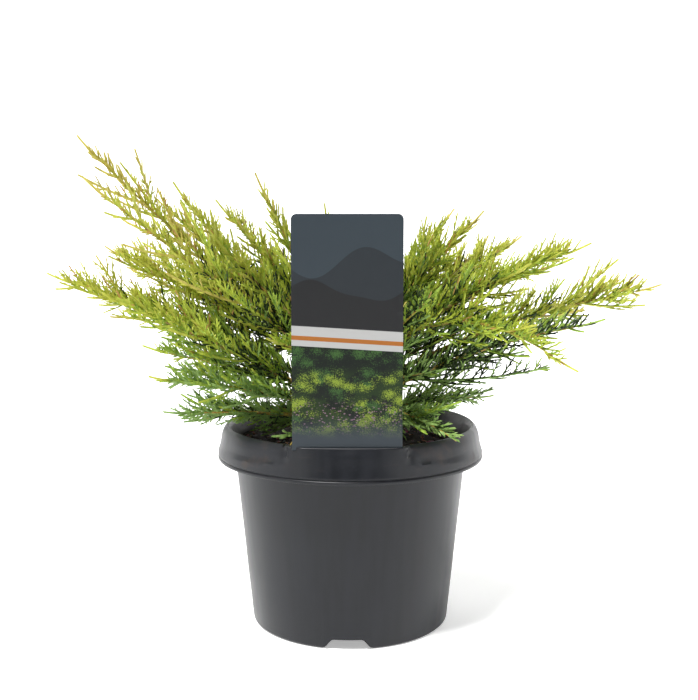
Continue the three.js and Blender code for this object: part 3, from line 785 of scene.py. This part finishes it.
limbs = {}
for row in LIMBS:
    limbs[row[0]] = Limb(row, limbs)
print(len(limbs), "limbs, the longest", round(max(limb.curve.length for limb in limbs.values())), "mm")

# %% [markdown]
# A mass keeps to its own room: a point belongs to the stem that is nearest, clear of the bare
# boughs, the trunk, the pot and the label. The distances from many points to all the stems at once
# are one array sum, so the test stays quick for tens of thousands of twigs.

# %% Room for each mass
ROOM_MARGIN = 1.0
POT_MARGIN = 3.5
POINTS_AT_ONCE = 1500
segments, groups, keep_out = [], [], []


def add_line(points, limb_number, distance):
    for a, b in zip(points, points[1:]):
        segments.append((a, b))
        groups.append(limb_number)
        keep_out.append(distance)


for number, limb in enumerate(limbs.values()):
    add_line(limb.curve.at(np.linspace(limb.clear, 1, 15)), number, limb.foot + ROOM_MARGIN)
stem_segments = len(segments)
for number, limb in enumerate(limbs.values()):
    if limb.share > 0:
        add_line(limb.curve.at(np.linspace(0, limb.share, 7)), number, limb.foot + ROOM_MARGIN)
add_line(trunk_curve.at(np.linspace(0, 1, 7)), -1, TRUNK_RADIUS + 4)
segment_start = np.array([a for a, b in segments])
segment_edge = np.array([b - a for a, b in segments])
segment_square = (segment_edge**2).sum(1)
groups, keep_out = np.array(groups), np.array(keep_out)


def clear_of_pot(points):
    x, y, z = points.T
    radius = np.hypot(x, y)
    over_rim = radius > BODY_TOP_RADIUS - POT_MARGIN
    floor = np.where(over_rim, POT_HEIGHT + POT_MARGIN, SOIL_CROWN + 2.5)
    inside = (radius < SKIRT_RADIUS + POT_MARGIN) & (z < floor)
    before = (y < LABEL_FACE_Y + POT_MARGIN) & (np.abs(x - LABEL_X) - LABEL_WIDTH / 2 < POT_MARGIN)
    return ~inside & ~(before & (z < POT_HEIGHT + LABEL_HEIGHT + POT_MARGIN))


def has_room(points, owner):
    answers = clear_of_pot(points)
    for low in range(0, len(points), POINTS_AT_ONCE):
        part = points[low : low + POINTS_AT_ONCE, None, :] - segment_start
        share = np.clip((part * segment_edge).sum(2) / segment_square, 0, 1)
        distance = np.linalg.norm(part - share[..., None] * segment_edge, axis=2)
        own = groups == owner
        own_distance = distance[:, :stem_segments][:, own[:stem_segments]].min(1)
        limit = np.broadcast_to(keep_out, distance.shape).copy()
        stems = limit[:, :stem_segments]
        stems[:] = np.maximum(stems, own_distance[:, None] + 2 * ROOM_MARGIN)
        limit[:, own] = 0
        answers[low : low + POINTS_AT_ONCE] &= (distance >= limit).all(1)
    return answers


# %% [markdown]
# Shoots leave a stem in a golden-angle spiral. The stream of chances is the same small generator
# that the solids used, with the same seeds, so each shoot stands where its blade stands in the
# solids. Between the blades that the solids show, the shoots that they leave out grow too.

# %% Shoots
GOLDEN_ANGLE = 137.508
SHOOT_STEP = 7.2
SHOOT_LEAN = 37.0
SHOOT_LONGEST = 52.0
SHORTER = (1.0, 0.75, 0.5, 0.33)
SHORTER_UPWARDS = 0.3
SHORTER_DOWNWARDS = 0.5
ROOM_TESTS = [0.1, 0.35, 0.6, 0.8, 1]
FIRST_SEED = 11
WORD = 0xFFFFFFFF


def chances(seed):
    state = seed
    while True:
        state = (state + 0x6D2B79F5) & WORD
        mixed = ((state ^ (state >> 15)) * (state | 1)) & WORD
        mixed ^= (mixed + ((mixed ^ (mixed >> 7)) * (mixed | 61) & WORD)) & WORD
        yield (mixed ^ (mixed >> 14)) / (WORD + 1)


def plan_shoot(limb, i, last, draw):
    jitter, longer, turned_by, leaned = (next(draw) for _ in range(4))
    travelled = limb.stem_length - 6 if last else limb.first_shoot + (i + 0.6 * jitter) * SHOOT_STEP
    most = min(SHOOT_LONGEST, 6 + 0.44 * (limb.stem_length - travelled))
    share = limb.clear + (1 - limb.clear) * travelled / limb.stem_length
    reach = TIP_REACH if last else most * (0.7 + 0.45 * longer) * (1.45 if longer > 0.8 else 1)
    roll = math.radians(i * GOLDEN_ANGLE + 50 * (turned_by - 0.5))
    lean = 0 if last else math.radians(SHOOT_LEAN + 16 * (leaned - 0.5))
    return share, reach, roll, lean


def grow_shoots(limb, owner):
    draw = chances(FIRST_SEED + owner)
    count = math.floor((limb.stem_length - limb.first_shoot - 4) / SHOOT_STEP) + 1
    shoots = []
    for i in range(count):
        share, reach, roll, lean = plan_shoot(limb, i, i == count - 1, draw)
        foot, tangent = limb.curve.at(share), limb.curve.along(share)
        across = unit(np.cross(tangent, UP))
        outward = across * math.cos(roll) + np.cross(across, tangent) * math.sin(roll)
        direction = tangent * math.cos(lean) + outward * math.sin(lean)
        level = 1 - SHORTER_UPWARDS * max(0, direction[2]) - SHORTER_DOWNWARDS * max(0, -direction[2])
        for shorter in SHORTER:
            length = reach * shorter * (1 if i == count - 1 else level)
            bend = (tangent * 0.2 + UP * 0.12) * length
            curve = Bend(foot, foot + direction * length * 0.5, foot + direction * length + bend)
            if has_room(curve.at(ROOM_TESTS), owner).all():
                shoots.append({"index": i, "share": share, "curve": curve, "on_stem": False})
                break
    return shoots


# %% [markdown]
# Sprays leave a shoot on alternate sides, and twiglets leave a spray the same way, each order
# shorter and finer. Towards the inside of a mass the sprays are longer and lean out more, above the
# rim they are lifted upwards, and the end of a shoot stays bare as a leader. A table makes some
# masses fuller or sparser. A spray whose tip would leave its mass's room is made shorter. All the
# sprays of a mass are rows of one array: a start, a direction, a slight upward bend and a length.

# %% Rows of sprays
SPRAY_LENGTH = 30.0
SPRAY_LEAN = 26.0
INNER_LEAN = 24.0
SPRAY_LIFT = 0.75
LIFT_FROM, LIFT_OVER = 150, 40
LEADER_LENGTH = 10.0
TWIGLET_STEP = 2.4
TWIGLET_LONGEST = 4.6
TWIGLET_LEAN = 36.0
FULLNESS = {
    "top_left": 0.6, "top_left_front": 0.6, "upper_left": 0.75, "crown_front": 0.8, "left_rim": 0.9,
    "far_left": 1.25, "left_back": 1.35, "left_front": 1.2, "left_low": 1.35, "left_under": 1.3,
    "left_foot": 1.3, "right_high": 1.15, "right_mid": 1.05, "right_back": 1.5, "far_right": 1.25,
    "upper_right": 1.3, "right_drop": 0.8, "back_right": 0.85,
}


def rows_at(rows, share):
    share = np.asarray(share, float)[..., None]
    length = rows["length"][:, None]
    return rows["start"] + rows["direction"] * length * share + rows["bend"] * length * share**2


def pick(rows, chosen):
    return {key: value[chosen] for key, value in rows.items()}


def join(parts):
    return {key: np.concatenate([part[key] for part in parts]) for key in parts[0]}


def shorten(rows, owner, tests, cuts):
    kept, waiting = [], rows
    for shorter in cuts:
        tried = {**waiting, "length": waiting["length"] * shorter}
        fits = np.ones(len(tried["length"]), bool)
        for share in tests:
            fits &= has_room(rows_at(tried, share), owner)
        kept.append(pick(tried, fits))
        waiting = pick(waiting, ~fits)
    return join(kept)


# %% Sprays and twiglets
# The step between sprays, how far they tilt out of a shoot's plane, and how much they shorten
SHOOT_HABIT = (3.5, 34, 0.85)
STEM_HABIT = (1.6, 180, 0.6)


# The stem itself carries sprays too, all round it, so that little bare wood shows.
def stem_carrier(limb):
    curve = limb.curve
    middle = (1 - limb.clear) * curve.middle + limb.clear * curve.end
    leafy = Bend(curve.at(limb.clear), middle, curve.end)
    return {"index": 0, "share": 0.5, "curve": leafy, "on_stem": True}


def grow_sprays(carriers, fullness, random):
    parts = []
    for number, shoot in enumerate(carriers):
        curve, on_stem, inner = shoot["curve"], shoot["on_stem"], shoot["share"]
        spacing, most_tilt, narrowing = STEM_HABIT if on_stem else SHOOT_HABIT
        leader = LEADER_LENGTH * (0.8 if on_stem else inner)
        tangent = curve.along(0.5)
        flat = unit(np.cross(tangent, UP))
        turn = math.radians(shoot["index"] * GOLDEN_ANGLE)
        flat = flat * math.cos(turn) + np.cross(tangent, flat) * math.sin(turn)
        count = max(1, int((curve.length - leader) / spacing))
        along = 2 + (np.arange(count) + random.uniform(-0.3, 0.3, count)) * spacing
        share = np.clip(along / curve.length, 0, 0.97)
        side = np.where(np.arange(count) % 2, 1.0, -1.0)
        direction = curve.along(share)
        beside = unit(np.cross(direction, np.cross(flat, tangent)))
        tilt = np.radians(random.uniform(-most_tilt, most_tilt, count))[:, None]
        beside = beside * np.cos(tilt) + np.cross(direction, beside) * np.sin(tilt)
        out = share if on_stem else 0.75 * inner + 0.35 * share
        lean = SPRAY_LEAN + INNER_LEAN * (1 - out) + random.uniform(-6, 6, count)
        lean = np.radians(lean)[:, None]
        longest = min(SPRAY_LENGTH, 5 + 0.5 * curve.length) * (1.25 - 0.8 * inner) * fullness
        length = 2 + longest * (1 - narrowing * share) * random.uniform(0.55, 1.1, count)
        length = np.minimum(length, 4 + 0.8 * curve.length * (1 - share))
        start = curve.at(share)
        lift = SPRAY_LIFT * np.clip((start[:, 2] - LIFT_FROM) / LIFT_OVER, 0, 1) * (1.1 - 0.7 * inner)
        lift = lift * random.uniform(0.4, 1.3, count)
        leaning = direction * np.cos(lean) + beside * side[:, None] * np.sin(lean)
        parts.append({
            "start": start, "direction": unit(leaning + UP * lift[:, None]),
            "bend": direction * 0.1 + UP * 0.12 + random.uniform(-0.05, 0.05, (count, 3)),
            "length": length, "shoot": np.full(count, number), "out": out,
        })
    return join(parts)


def grow_twiglets(sprays, random):
    count = np.maximum(0, ((sprays["length"] - 3.0) / TWIGLET_STEP).astype(int))
    rows = pick(sprays, np.repeat(np.arange(len(count)), count))
    order = np.concatenate([np.arange(n) for n in count])
    along = 1.2 + (order + random.uniform(0, 0.6, len(order))) * TWIGLET_STEP
    share = along / rows["length"]
    direction = unit(rows["direction"] + 2 * rows["bend"] * share[:, None])
    across = unit(np.cross(direction, np.roll(rows["direction"], 1, axis=1) + 0.3))
    over = np.cross(direction, across)
    roll = np.radians(rows["shoot"] * 57.0 + random.uniform(-20, 20, len(order)))[:, None]
    beside = (across * np.cos(roll) + over * np.sin(roll)) * np.where(order % 2, 1.0, -1.0)[:, None]
    lean = np.radians(TWIGLET_LEAN + random.uniform(-5, 5, len(order)))[:, None]
    longest = np.minimum(TWIGLET_LONGEST, 0.3 * (rows["length"] - along) + 1.8)
    return {
        **rows, "share": share, "start": rows_at(rows, share),
        "direction": direction * np.cos(lean) + beside * np.sin(lean),
        "bend": direction * 0.12 + UP * 0.12, "length": longest * random.uniform(0.6, 1.1, len(order)),
    }


# %% Grow every mass
SPRAY_SEED = 100
masses = []
for owner, limb in enumerate(limbs.values()):
    carriers = [*grow_shoots(limb, owner), stem_carrier(limb)]
    random = np.random.default_rng(SPRAY_SEED + owner)
    sprays = grow_sprays(carriers, FULLNESS.get(limb.name, 1.0), random)
    sprays = shorten(sprays, owner, (0.5, 1.0), (1.0, 0.8, 0.6, 0.42))
    twiglets = shorten(grow_twiglets(sprays, random), owner, (1.0,), (1.0, 0.6))
    masses.append((limb, carriers, sprays, twiglets))
lengths = [rows["length"] for mass in masses for rows in mass[2:]]
print("shoots", sum(len(mass[1]) - 1 for mass in masses))
print("sprays", sum(map(len, lengths[::2])), "and twiglets", sum(map(len, lengths[1::2])))
print("metres of twig", sum(map(np.sum, lengths)) / 1000)

# %% [markdown]
# Old wood is round, tapering and thinly barked. The trunk and the boughs are paths with a thickness
# at each point. A recipe turns them into tubes, and pushes the skin in and out with a noise that is
# long along the limb, which gives the shallow fissures and plates of juniper bark.

# %% Bark recipe
def paths(name, lines, radii):
    points = np.concatenate(lines) * MM
    ends = np.cumsum([len(line) for line in lines])
    numbers = np.arange(len(points) - 1)
    edges = np.column_stack([numbers, numbers + 1])[~np.isin(numbers + 1, ends)]
    mesh = bpy.data.meshes.new(name)
    mesh.vertices.add(len(points))
    mesh.vertices.foreach_set("co", points.ravel())
    mesh.edges.add(len(edges))
    mesh.edges.foreach_set("vertices", edges.ravel())
    thickness = mesh.attributes.new("thickness", "FLOAT", "POINT")
    thickness.data.foreach_set("value", np.concatenate(radii) * MM)
    return mesh


def path_curve(recipe):
    return recipe.node("GeometryNodeMeshToCurve", {}, {"Mesh": recipe.sizes["Geometry"]})


def tube(recipe, curve):
    values = {"Resolution": recipe.sizes["Sides"], "Radius": 1.0}
    ring = recipe.node("GeometryNodeCurvePrimitiveCircle", {}, values)
    settings = {"data_type": "FLOAT"}
    thickness = recipe.node("GeometryNodeInputNamedAttribute", settings, {"Name": "thickness"})
    values = {"Curve": curve, "Profile Curve": ring, "Scale": thickness, "Fill Caps": True}
    return recipe.node("GeometryNodeCurveToMesh", {}, values)


def bark_recipe():
    recipe = Recipe("barked_limbs", Step=1.2 * MM, Sides=18, Relief=0.5 * MM, Material=None)
    values = {"Curve": path_curve(recipe), "Length": recipe.sizes["Step"]}
    skin = tube(recipe, recipe.node("GeometryNodeResampleCurve", {"mode": "LENGTH"}, values))
    values = {0: recipe.node("GeometryNodeInputPosition"), 1: (1.0, 1.0, 0.3)}
    place = recipe.node("ShaderNodeVectorMath", {"operation": "MULTIPLY"}, values)
    ridges = recipe.node("ShaderNodeTexNoise", {}, {"Vector": place, "Scale": 420.0, "Detail": 3.0})
    plates = recipe.node("ShaderNodeTexVoronoi", {}, {"Vector": place, "Scale": 260.0})
    height = (ridges - 0.5) * 1.6 + (plates - 0.4) * 0.7
    push = recipe.scaled(recipe.node("GeometryNodeInputNormal"), height * recipe.sizes["Relief"])
    return recipe.close(recipe.node("GeometryNodeSetPosition", {}, {"Geometry": skin, "Offset": push}))


def trunk_radius(share):
    flare = 5 * np.maximum(0, 1 - share / 0.22) ** 2
    return (TRUNK_RADIUS * (1 - 0.3 * share) + flare) * (1 - 0.28 * step(share, 0.88, 1.0))


# %% Bark finish
def bark_finish(name, dark, light, orange):
    finish = Finish(name, specular=0.25)
    fibres = finish.speckle(1.0, 6, finish.stretched(700, 700, 90))
    plates = finish.cells(300, 1, finish.stretched(1, 1, 0.35))
    tone = finish.speckle(160, 4).rise(0.35, 0.65)
    base = finish.mix(fibres.rise(0.38, 0.62), dark, light)
    base = finish.mix(tone * 0.45, base, orange)
    base = finish.mix(0.15, base, finish.mix(0.7, plates, light))
    return finish.finish(base, 0.75 + fibres * 0.2, finish.bump(fibres, 0.7, 0.0006))


trunk_shares = np.linspace(0, 1, 30)
lines, radii = [trunk_curve.at(trunk_shares)], [trunk_radius(trunk_shares)]
for limb in limbs.values():
    if limb.share > 0:
        shares = np.linspace(0, limb.clear + 0.02, 9)
        lines.append(limb.curve.at(shares))
        radii.append(limb.radius(shares))
bark = bark_finish("juniper_bark", "4a2c1c", "86593a", "9c5f35")
bark_mesh = bark_recipe().make("trunk_and_boughs", paths("wood_paths", lines, radii), Material=bark)
piece("trunk_and_boughs", bark_mesh, "bark", "trunk", *BOUGH_NODES)

# %% [markdown]
# A juniper's twig is a thin cord with pointed scale leaves pressed along it. The next recipe sweeps
# a three-sided cord along every path, and sets a small four-faced spike at each short step, turned
# by the golden angle and tilted outwards. Both are real geometry, so the outline is serrated.

# %% Twig recipe
LEAF_STEP = 2.1
LEAF_LENGTH = 1.7
LEAF_WIDTH = 0.55


def twig_recipe():
    recipe = Recipe(
        "leafy_twigs", Sides=3, LeafStep=LEAF_STEP * MM, LeafLength=LEAF_LENGTH * MM,
        LeafWidth=LEAF_WIDTH * MM, Tilt=0.3, Seed=3, Material=None,
    )
    size = recipe.sizes
    curve = path_curve(recipe)
    values = {"Curve": curve, "Length": size["LeafStep"]}
    points = recipe.node("GeometryNodeCurveToPoints", {"mode": "LENGTH"}, values)
    leaf = recipe.node("GeometryNodeMeshCone", {"fill_type": "NGON"}, {
        "Vertices": 3, "Radius Top": 0.0, "Radius Bottom": size["LeafWidth"], "Depth": size["LeafLength"],
    })
    wobble = recipe.chance(-0.6, 0.6, size["Seed"])
    roll = recipe.node("GeometryNodeInputIndex") * math.radians(GOLDEN_ANGLE) + wobble
    turn = recipe.twisted(recipe.wires(points)[3], Z=roll)
    turn = recipe.twisted(turn, X=size["Tilt"])
    grow = recipe.chance(0.7, 1.15, 12)
    scale = recipe.node("ShaderNodeCombineXYZ", {}, {"X": grow, "Y": grow, "Z": grow})
    values = {"Points": points, "Instance": leaf, "Rotation": turn, "Scale": scale}
    leaves = recipe.node("GeometryNodeInstanceOnPoints", {}, values)
    parts = [tube(recipe, curve), leaves]
    return recipe.close(recipe.node("GeometryNodeJoinGeometry", {}, {"Geometry": parts}))


# %% [markdown]
# The photo's colour runs from deep green low and inside, through lime, to old gold at the outer and
# upper tips, with a few bronze ones. Each spray is dealt a plain colour by where it grows, with some
# chance, so the kinds mingle. The foot of a long spray is dealt apart, darker and greener, and the
# twiglets near a spray's foot are darker too, partly as older growth and partly as painted shade. On
# the inner part of a shoot, and most on the limbs in SHADED_LIMBS, the darkest green is dealt as
# painted shade. Each kind has a finish of its own, and is split into pieces that stay small enough
# to export whole.

# %% Deal the colours
# The first kind, the darkest green, is painted shade for the inside of the masses
KINDS = [
    ("shade_green", "142404", "2a3e10"),
    ("deep_green", "5c7c36", "92ae62"),
    ("mid_green", "6e8c28", "a0b848"),
    ("lime", "8e9e24", "b6c248"),
    ("straw", "9ea22e", "bcbe50"),
    ("gold", "a6983a", "beb45c"),
    ("bronze", "987038", "b8944c"),
]
LIMITS = [-0.2, 0.14, 0.36, 0.58, 0.86]
LIME, GOLD, BRONZE = 3, 5, 6
BRONZE_SHARE = 0.03
# The darkest green as painted shade: how often it is dealt, how far out along a shoot, and how much darker
# the limbs in SHADED_LIMBS are painted
SHADY_SHARE = 0.95
SHADY_REACH = 0.62
SHADED_TONE = 0.36
SHADED_LIMBS = ("front_right", "front_right_low", "right_inner", "right_mid", "front_mid")
FOLIAGE_FOOT = 150
FOLIAGE_RISE = 170
FOLIAGE_REACH = 220


# The higher and the further out a twig starts, the more golden it is
def goldness(starts, random):
    x, y, z = starts.T
    height = np.clip((z - FOLIAGE_FOOT) / FOLIAGE_RISE, 0, 1.1)
    outer = 0.5 * (np.hypot(x, y) / FOLIAGE_REACH) * np.clip((z - 120) / 90, 0.4, 1)
    return 0.7 * height + outer - 0.09 + random.normal(0, 0.14, len(starts))


def kind_of(gold, random, inner=0.0):
    gold = np.where(random.random(len(gold)) < inner, -1.0, gold)
    kinds = np.searchsorted(LIMITS, gold)
    bronze = (random.random(len(gold)) < BRONZE_SHARE) & (kinds >= LIME)
    return np.where(bronze, BRONZE, kinds)


# How often a spray is dealt the darkest green as painted shade: most at middle heights and on the inner
# part of a shoot
def shadiness(rows, reach):
    height = rows["start"][:, 2]
    deep = np.clip((height - FOLIAGE_FOOT) / 45, 0.1, 1) * np.clip((285 - height) / 60, 0.1, 1)
    return SHADY_SHARE * deep * np.clip(1 - rows["out"] / reach, 0, 1)


def foliage_finish(name, dark, light):
    finish = Finish(name, specular=0.35)
    tone = finish.speckle(210, 2).rise(0.35, 0.65)
    fine = finish.speckle(900, 2).rise(0.3, 0.7)
    base = finish.mix(tone * 0.6 + fine * 0.4, dark, light)
    return finish.finish(base, 0.5 + fine * 0.15, finish.bump(fine, 0.3, 0.0002))


# %% Paths of every kind
DEALING_SEED = 5
LONG_SPRAY = 7
FOOT_SHARE = 0.45
STEM_THINNING = 0.62
SHADED_REACH = 3.4
OWN_TONE, SHOOT_TONE = 0.45, 0.55
LONG_RADII, SHORT_RADII, TWIGLET_RADII = (0.7, 0.58), (0.68, 0.56), (0.58, 0.46)


# A twig's tone is partly its own and partly its shoot's, so that each shoot has one main colour
def blended(rows, shoot_tone, random):
    return goldness(rows["start"], random) * OWN_TONE + shoot_tone[rows["shoot"]] * SHOOT_TONE


def ribbons(rows, steps, thick, thin, begin=0.0, end=1.0):
    shares = np.linspace(begin, end, steps)
    lines = np.stack([rows_at(rows, share) for share in shares], axis=1)
    return list(lines), [thick + (thin - thick) * shares] * len(lines)


random = np.random.default_rng(DEALING_SEED)
dealt = [([], []) for kind in KINDS]
wood_lines, wood_radii = [], []


def deal(kinds, lines, radii):
    for kind, line, radius in zip(kinds, lines, radii):
        dealt[kind][0].append(line)
        dealt[kind][1].append(radius)


for limb, carriers, sprays, twiglets in masses:
    shares = np.linspace(limb.clear, 1, 24)
    wood_lines.append(limb.curve.at(shares))
    wood_radii.append(limb.radius(shares) * STEM_THINNING)
    # The limbs in SHADED_LIMBS are painted darker as shade, and their painted shade reaches further out
    shaded = limb.name in SHADED_LIMBS
    reach = SHADY_REACH * (SHADED_REACH if shaded else 1.0)
    shoot_tone = goldness(np.array([shoot["curve"].at(0.8) for shoot in carriers]), random)
    shoot_tone = shoot_tone - (SHADED_TONE if shaded else 0)
    tone = blended(sprays, shoot_tone, random)
    shades = shadiness(sprays, reach)
    spray_kinds = kind_of(tone + 0.04, random, shades * 0.8)
    # The foot of a long spray is dealt darker and greener, partly as older growth and partly as painted
    # shade
    foot_tone = tone - 0.08 - 0.2 * step(sprays["start"][:, 2], 170, 240)
    foot_kinds = kind_of(foot_tone, random, shades)
    # Twiglets near a spray's foot are dealt darker, partly as older growth and partly as painted shade
    tone = blended(twiglets, shoot_tone, random) + 0.4 * (twiglets["share"] - 0.6)
    long = sprays["length"] > LONG_SPRAY
    deal(foot_kinds[long], *ribbons(pick(sprays, long), 2, *LONG_RADII, 0.0, FOOT_SHARE))
    deal(spray_kinds[long], *ribbons(pick(sprays, long), 3, *LONG_RADII, FOOT_SHARE, 1.0))
    deal(spray_kinds[~long], *ribbons(pick(sprays, ~long), 3, *SHORT_RADII))
    deal(kind_of(tone, random, shadiness(twiglets, reach)), *ribbons(twiglets, 2, *TWIGLET_RADII))
    shoot_kinds = np.minimum(kind_of(shoot_tone + 0.1, random), GOLD)
    for shoot, kind in zip(carriers[:-1], shoot_kinds):
        shares = np.linspace(0, 1, 7)
        deal([kind], [shoot["curve"].at(shares)], [1.15 - 0.35 * shares])

# %% Make the foliage
MOST_TRIANGLES = 190000


def triangles_of(line):
    length = np.linalg.norm(np.diff(line, axis=0), axis=1).sum()
    return 6 * (len(line) - 1) + 2 + 4 * (length / LEAF_STEP + 1)


def split(lines, radii):
    counts = np.cumsum([triangles_of(line) for line in lines])
    parts = max(1, math.ceil(counts[-1] / MOST_TRIANGLES))
    cuts = np.searchsorted(counts, counts[-1] * np.arange(1, parts) / parts)
    edges = [0, *cuts, len(lines)]
    return [(lines[a:b], radii[a:b]) for a, b in zip(edges, edges[1:])]


twigs = twig_recipe()
for (name, dark, light), rows in zip(KINDS, dealt):
    finish = foliage_finish("foliage_" + name, dark, light)
    for part, (lines, radii) in enumerate(split(*rows)):
        label = f"foliage_{name}_{part + 1}"
        mesh = twigs.make(label, paths(label, lines, radii), Material=finish)
        piece(label, mesh, "foliage", *FOLIAGE_NODES, smooth=False)

finish = bark_finish("young_stem", "76602c", "a68e3e", "b09a3a")
stem_sizes = {"Step": 3 * MM, "Sides": 7, "Relief": 0.15 * MM, "Material": finish}
stem_mesh = bark_recipe().make("foliage_stems", paths("stems", wood_lines, wood_radii), **stem_sizes)
piece("foliage_stems", stem_mesh, "foliage", *FOLIAGE_NODES)

# %% [markdown]
# The set is a white sweep: a plain pale floor that curves up into a wall far behind the plant. It
# glows a little, so that it stays pale under the foliage. One broad sun from above the camera's left
# shoulder does most of the work, and two weak ones from the sides open the shadows. The sky lights
# the plant more from behind than from in front, and where the camera sees it, it is plain white.

# %% Sweep
SWEEP_HALF = 9.0
SWEEP_FRONT = -8.0
SWEEP_BACK = 4.0
SWEEP_TOP = 6.0
SWEEP_BEND = 1.5
SWEEP_STEPS = 12
SWEEP_DROP = 0.0002
FLOOR_GLOW = 0.4


def sweep():
    profile = [(SWEEP_FRONT, 0.0), (SWEEP_BACK - SWEEP_BEND, 0.0)]
    for i in range(1, SWEEP_STEPS + 1):
        turn = i / SWEEP_STEPS * math.pi / 2
        profile.append((SWEEP_BACK - SWEEP_BEND * (1 - math.sin(turn)), SWEEP_BEND * (1 - math.cos(turn))))
    profile.append((SWEEP_BACK, SWEEP_TOP))
    points = [(x, y, z - SWEEP_DROP) for y, z in profile for x in (-SWEEP_HALF, SWEEP_HALF)]
    faces = [(2 * i, 2 * i + 1, 2 * i + 3, 2 * i + 2) for i in range(len(profile) - 1)]
    mesh = bpy.data.meshes.new("sweep")
    mesh.from_pydata(points, [], faces)
    mesh.polygons.foreach_set("use_smooth", [True] * len(faces))
    finish = Finish("sweep_paint", roughness=0.9, specular=0.1)
    finish.inputs["Emission Color"].default_value = (1, 1, 1, 1)
    finish.inputs["Emission Strength"].default_value = FLOOR_GLOW
    mesh.materials.append(finish.finish(finish.mix(finish.speckle(3, 2), "f8f8f8", "fbfbfb")))
    put("sweep", mesh)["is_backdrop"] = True


def sun(name, toward, strength, softness):
    light = bpy.data.lights.new(name, "SUN")
    light.energy = strength
    light.angle = softness
    put(name, light).rotation_euler = Vector(toward).to_track_quat("-Z", "Y").to_euler()


sweep()
sun("key", (0.32, 0.42, -1.2), 4.6, 0.2)
sun("left", (1.0, 0.25, -0.3), 0.75, 0.7)
sun("right", (-1.0, 0.2, -0.25), 0.75, 0.7)

# %% Sky
SKY_IN_FRONT = 0.05
SKY_BEHIND = 0.36
world = bpy.data.worlds.new("white_sky")
bpy.context.scene.world = world
world.use_nodes = True
sky = Tree(world.node_tree)
depth = sky.wires(sky.node("ShaderNodeSeparateXYZ", {}, {"Vector": sky.node("ShaderNodeTexCoord")}))[1]
light = SKY_IN_FRONT + depth.rise(-0.9, 0.3) * SKY_BEHIND
seen = sky.node("ShaderNodeLightPath")
background = world.node_tree.nodes["Background"].inputs
background["Color"].default_value = (1, 1, 1, 1)
world.node_tree.links.new((light + seen * (1 - light)).socket, background["Strength"])
bpy.context.scene.view_settings.view_transform = "Standard"
print("sky strength runs from", SKY_IN_FRONT, "to", SKY_IN_FRONT + SKY_BEHIND)

# %% Sizes
visual_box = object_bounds()
for title, (low, high) in (("solids", cad_box), ("dressed", visual_box)):
    print(title, [round(v * 1000, 1) for v in (*low, *high)])
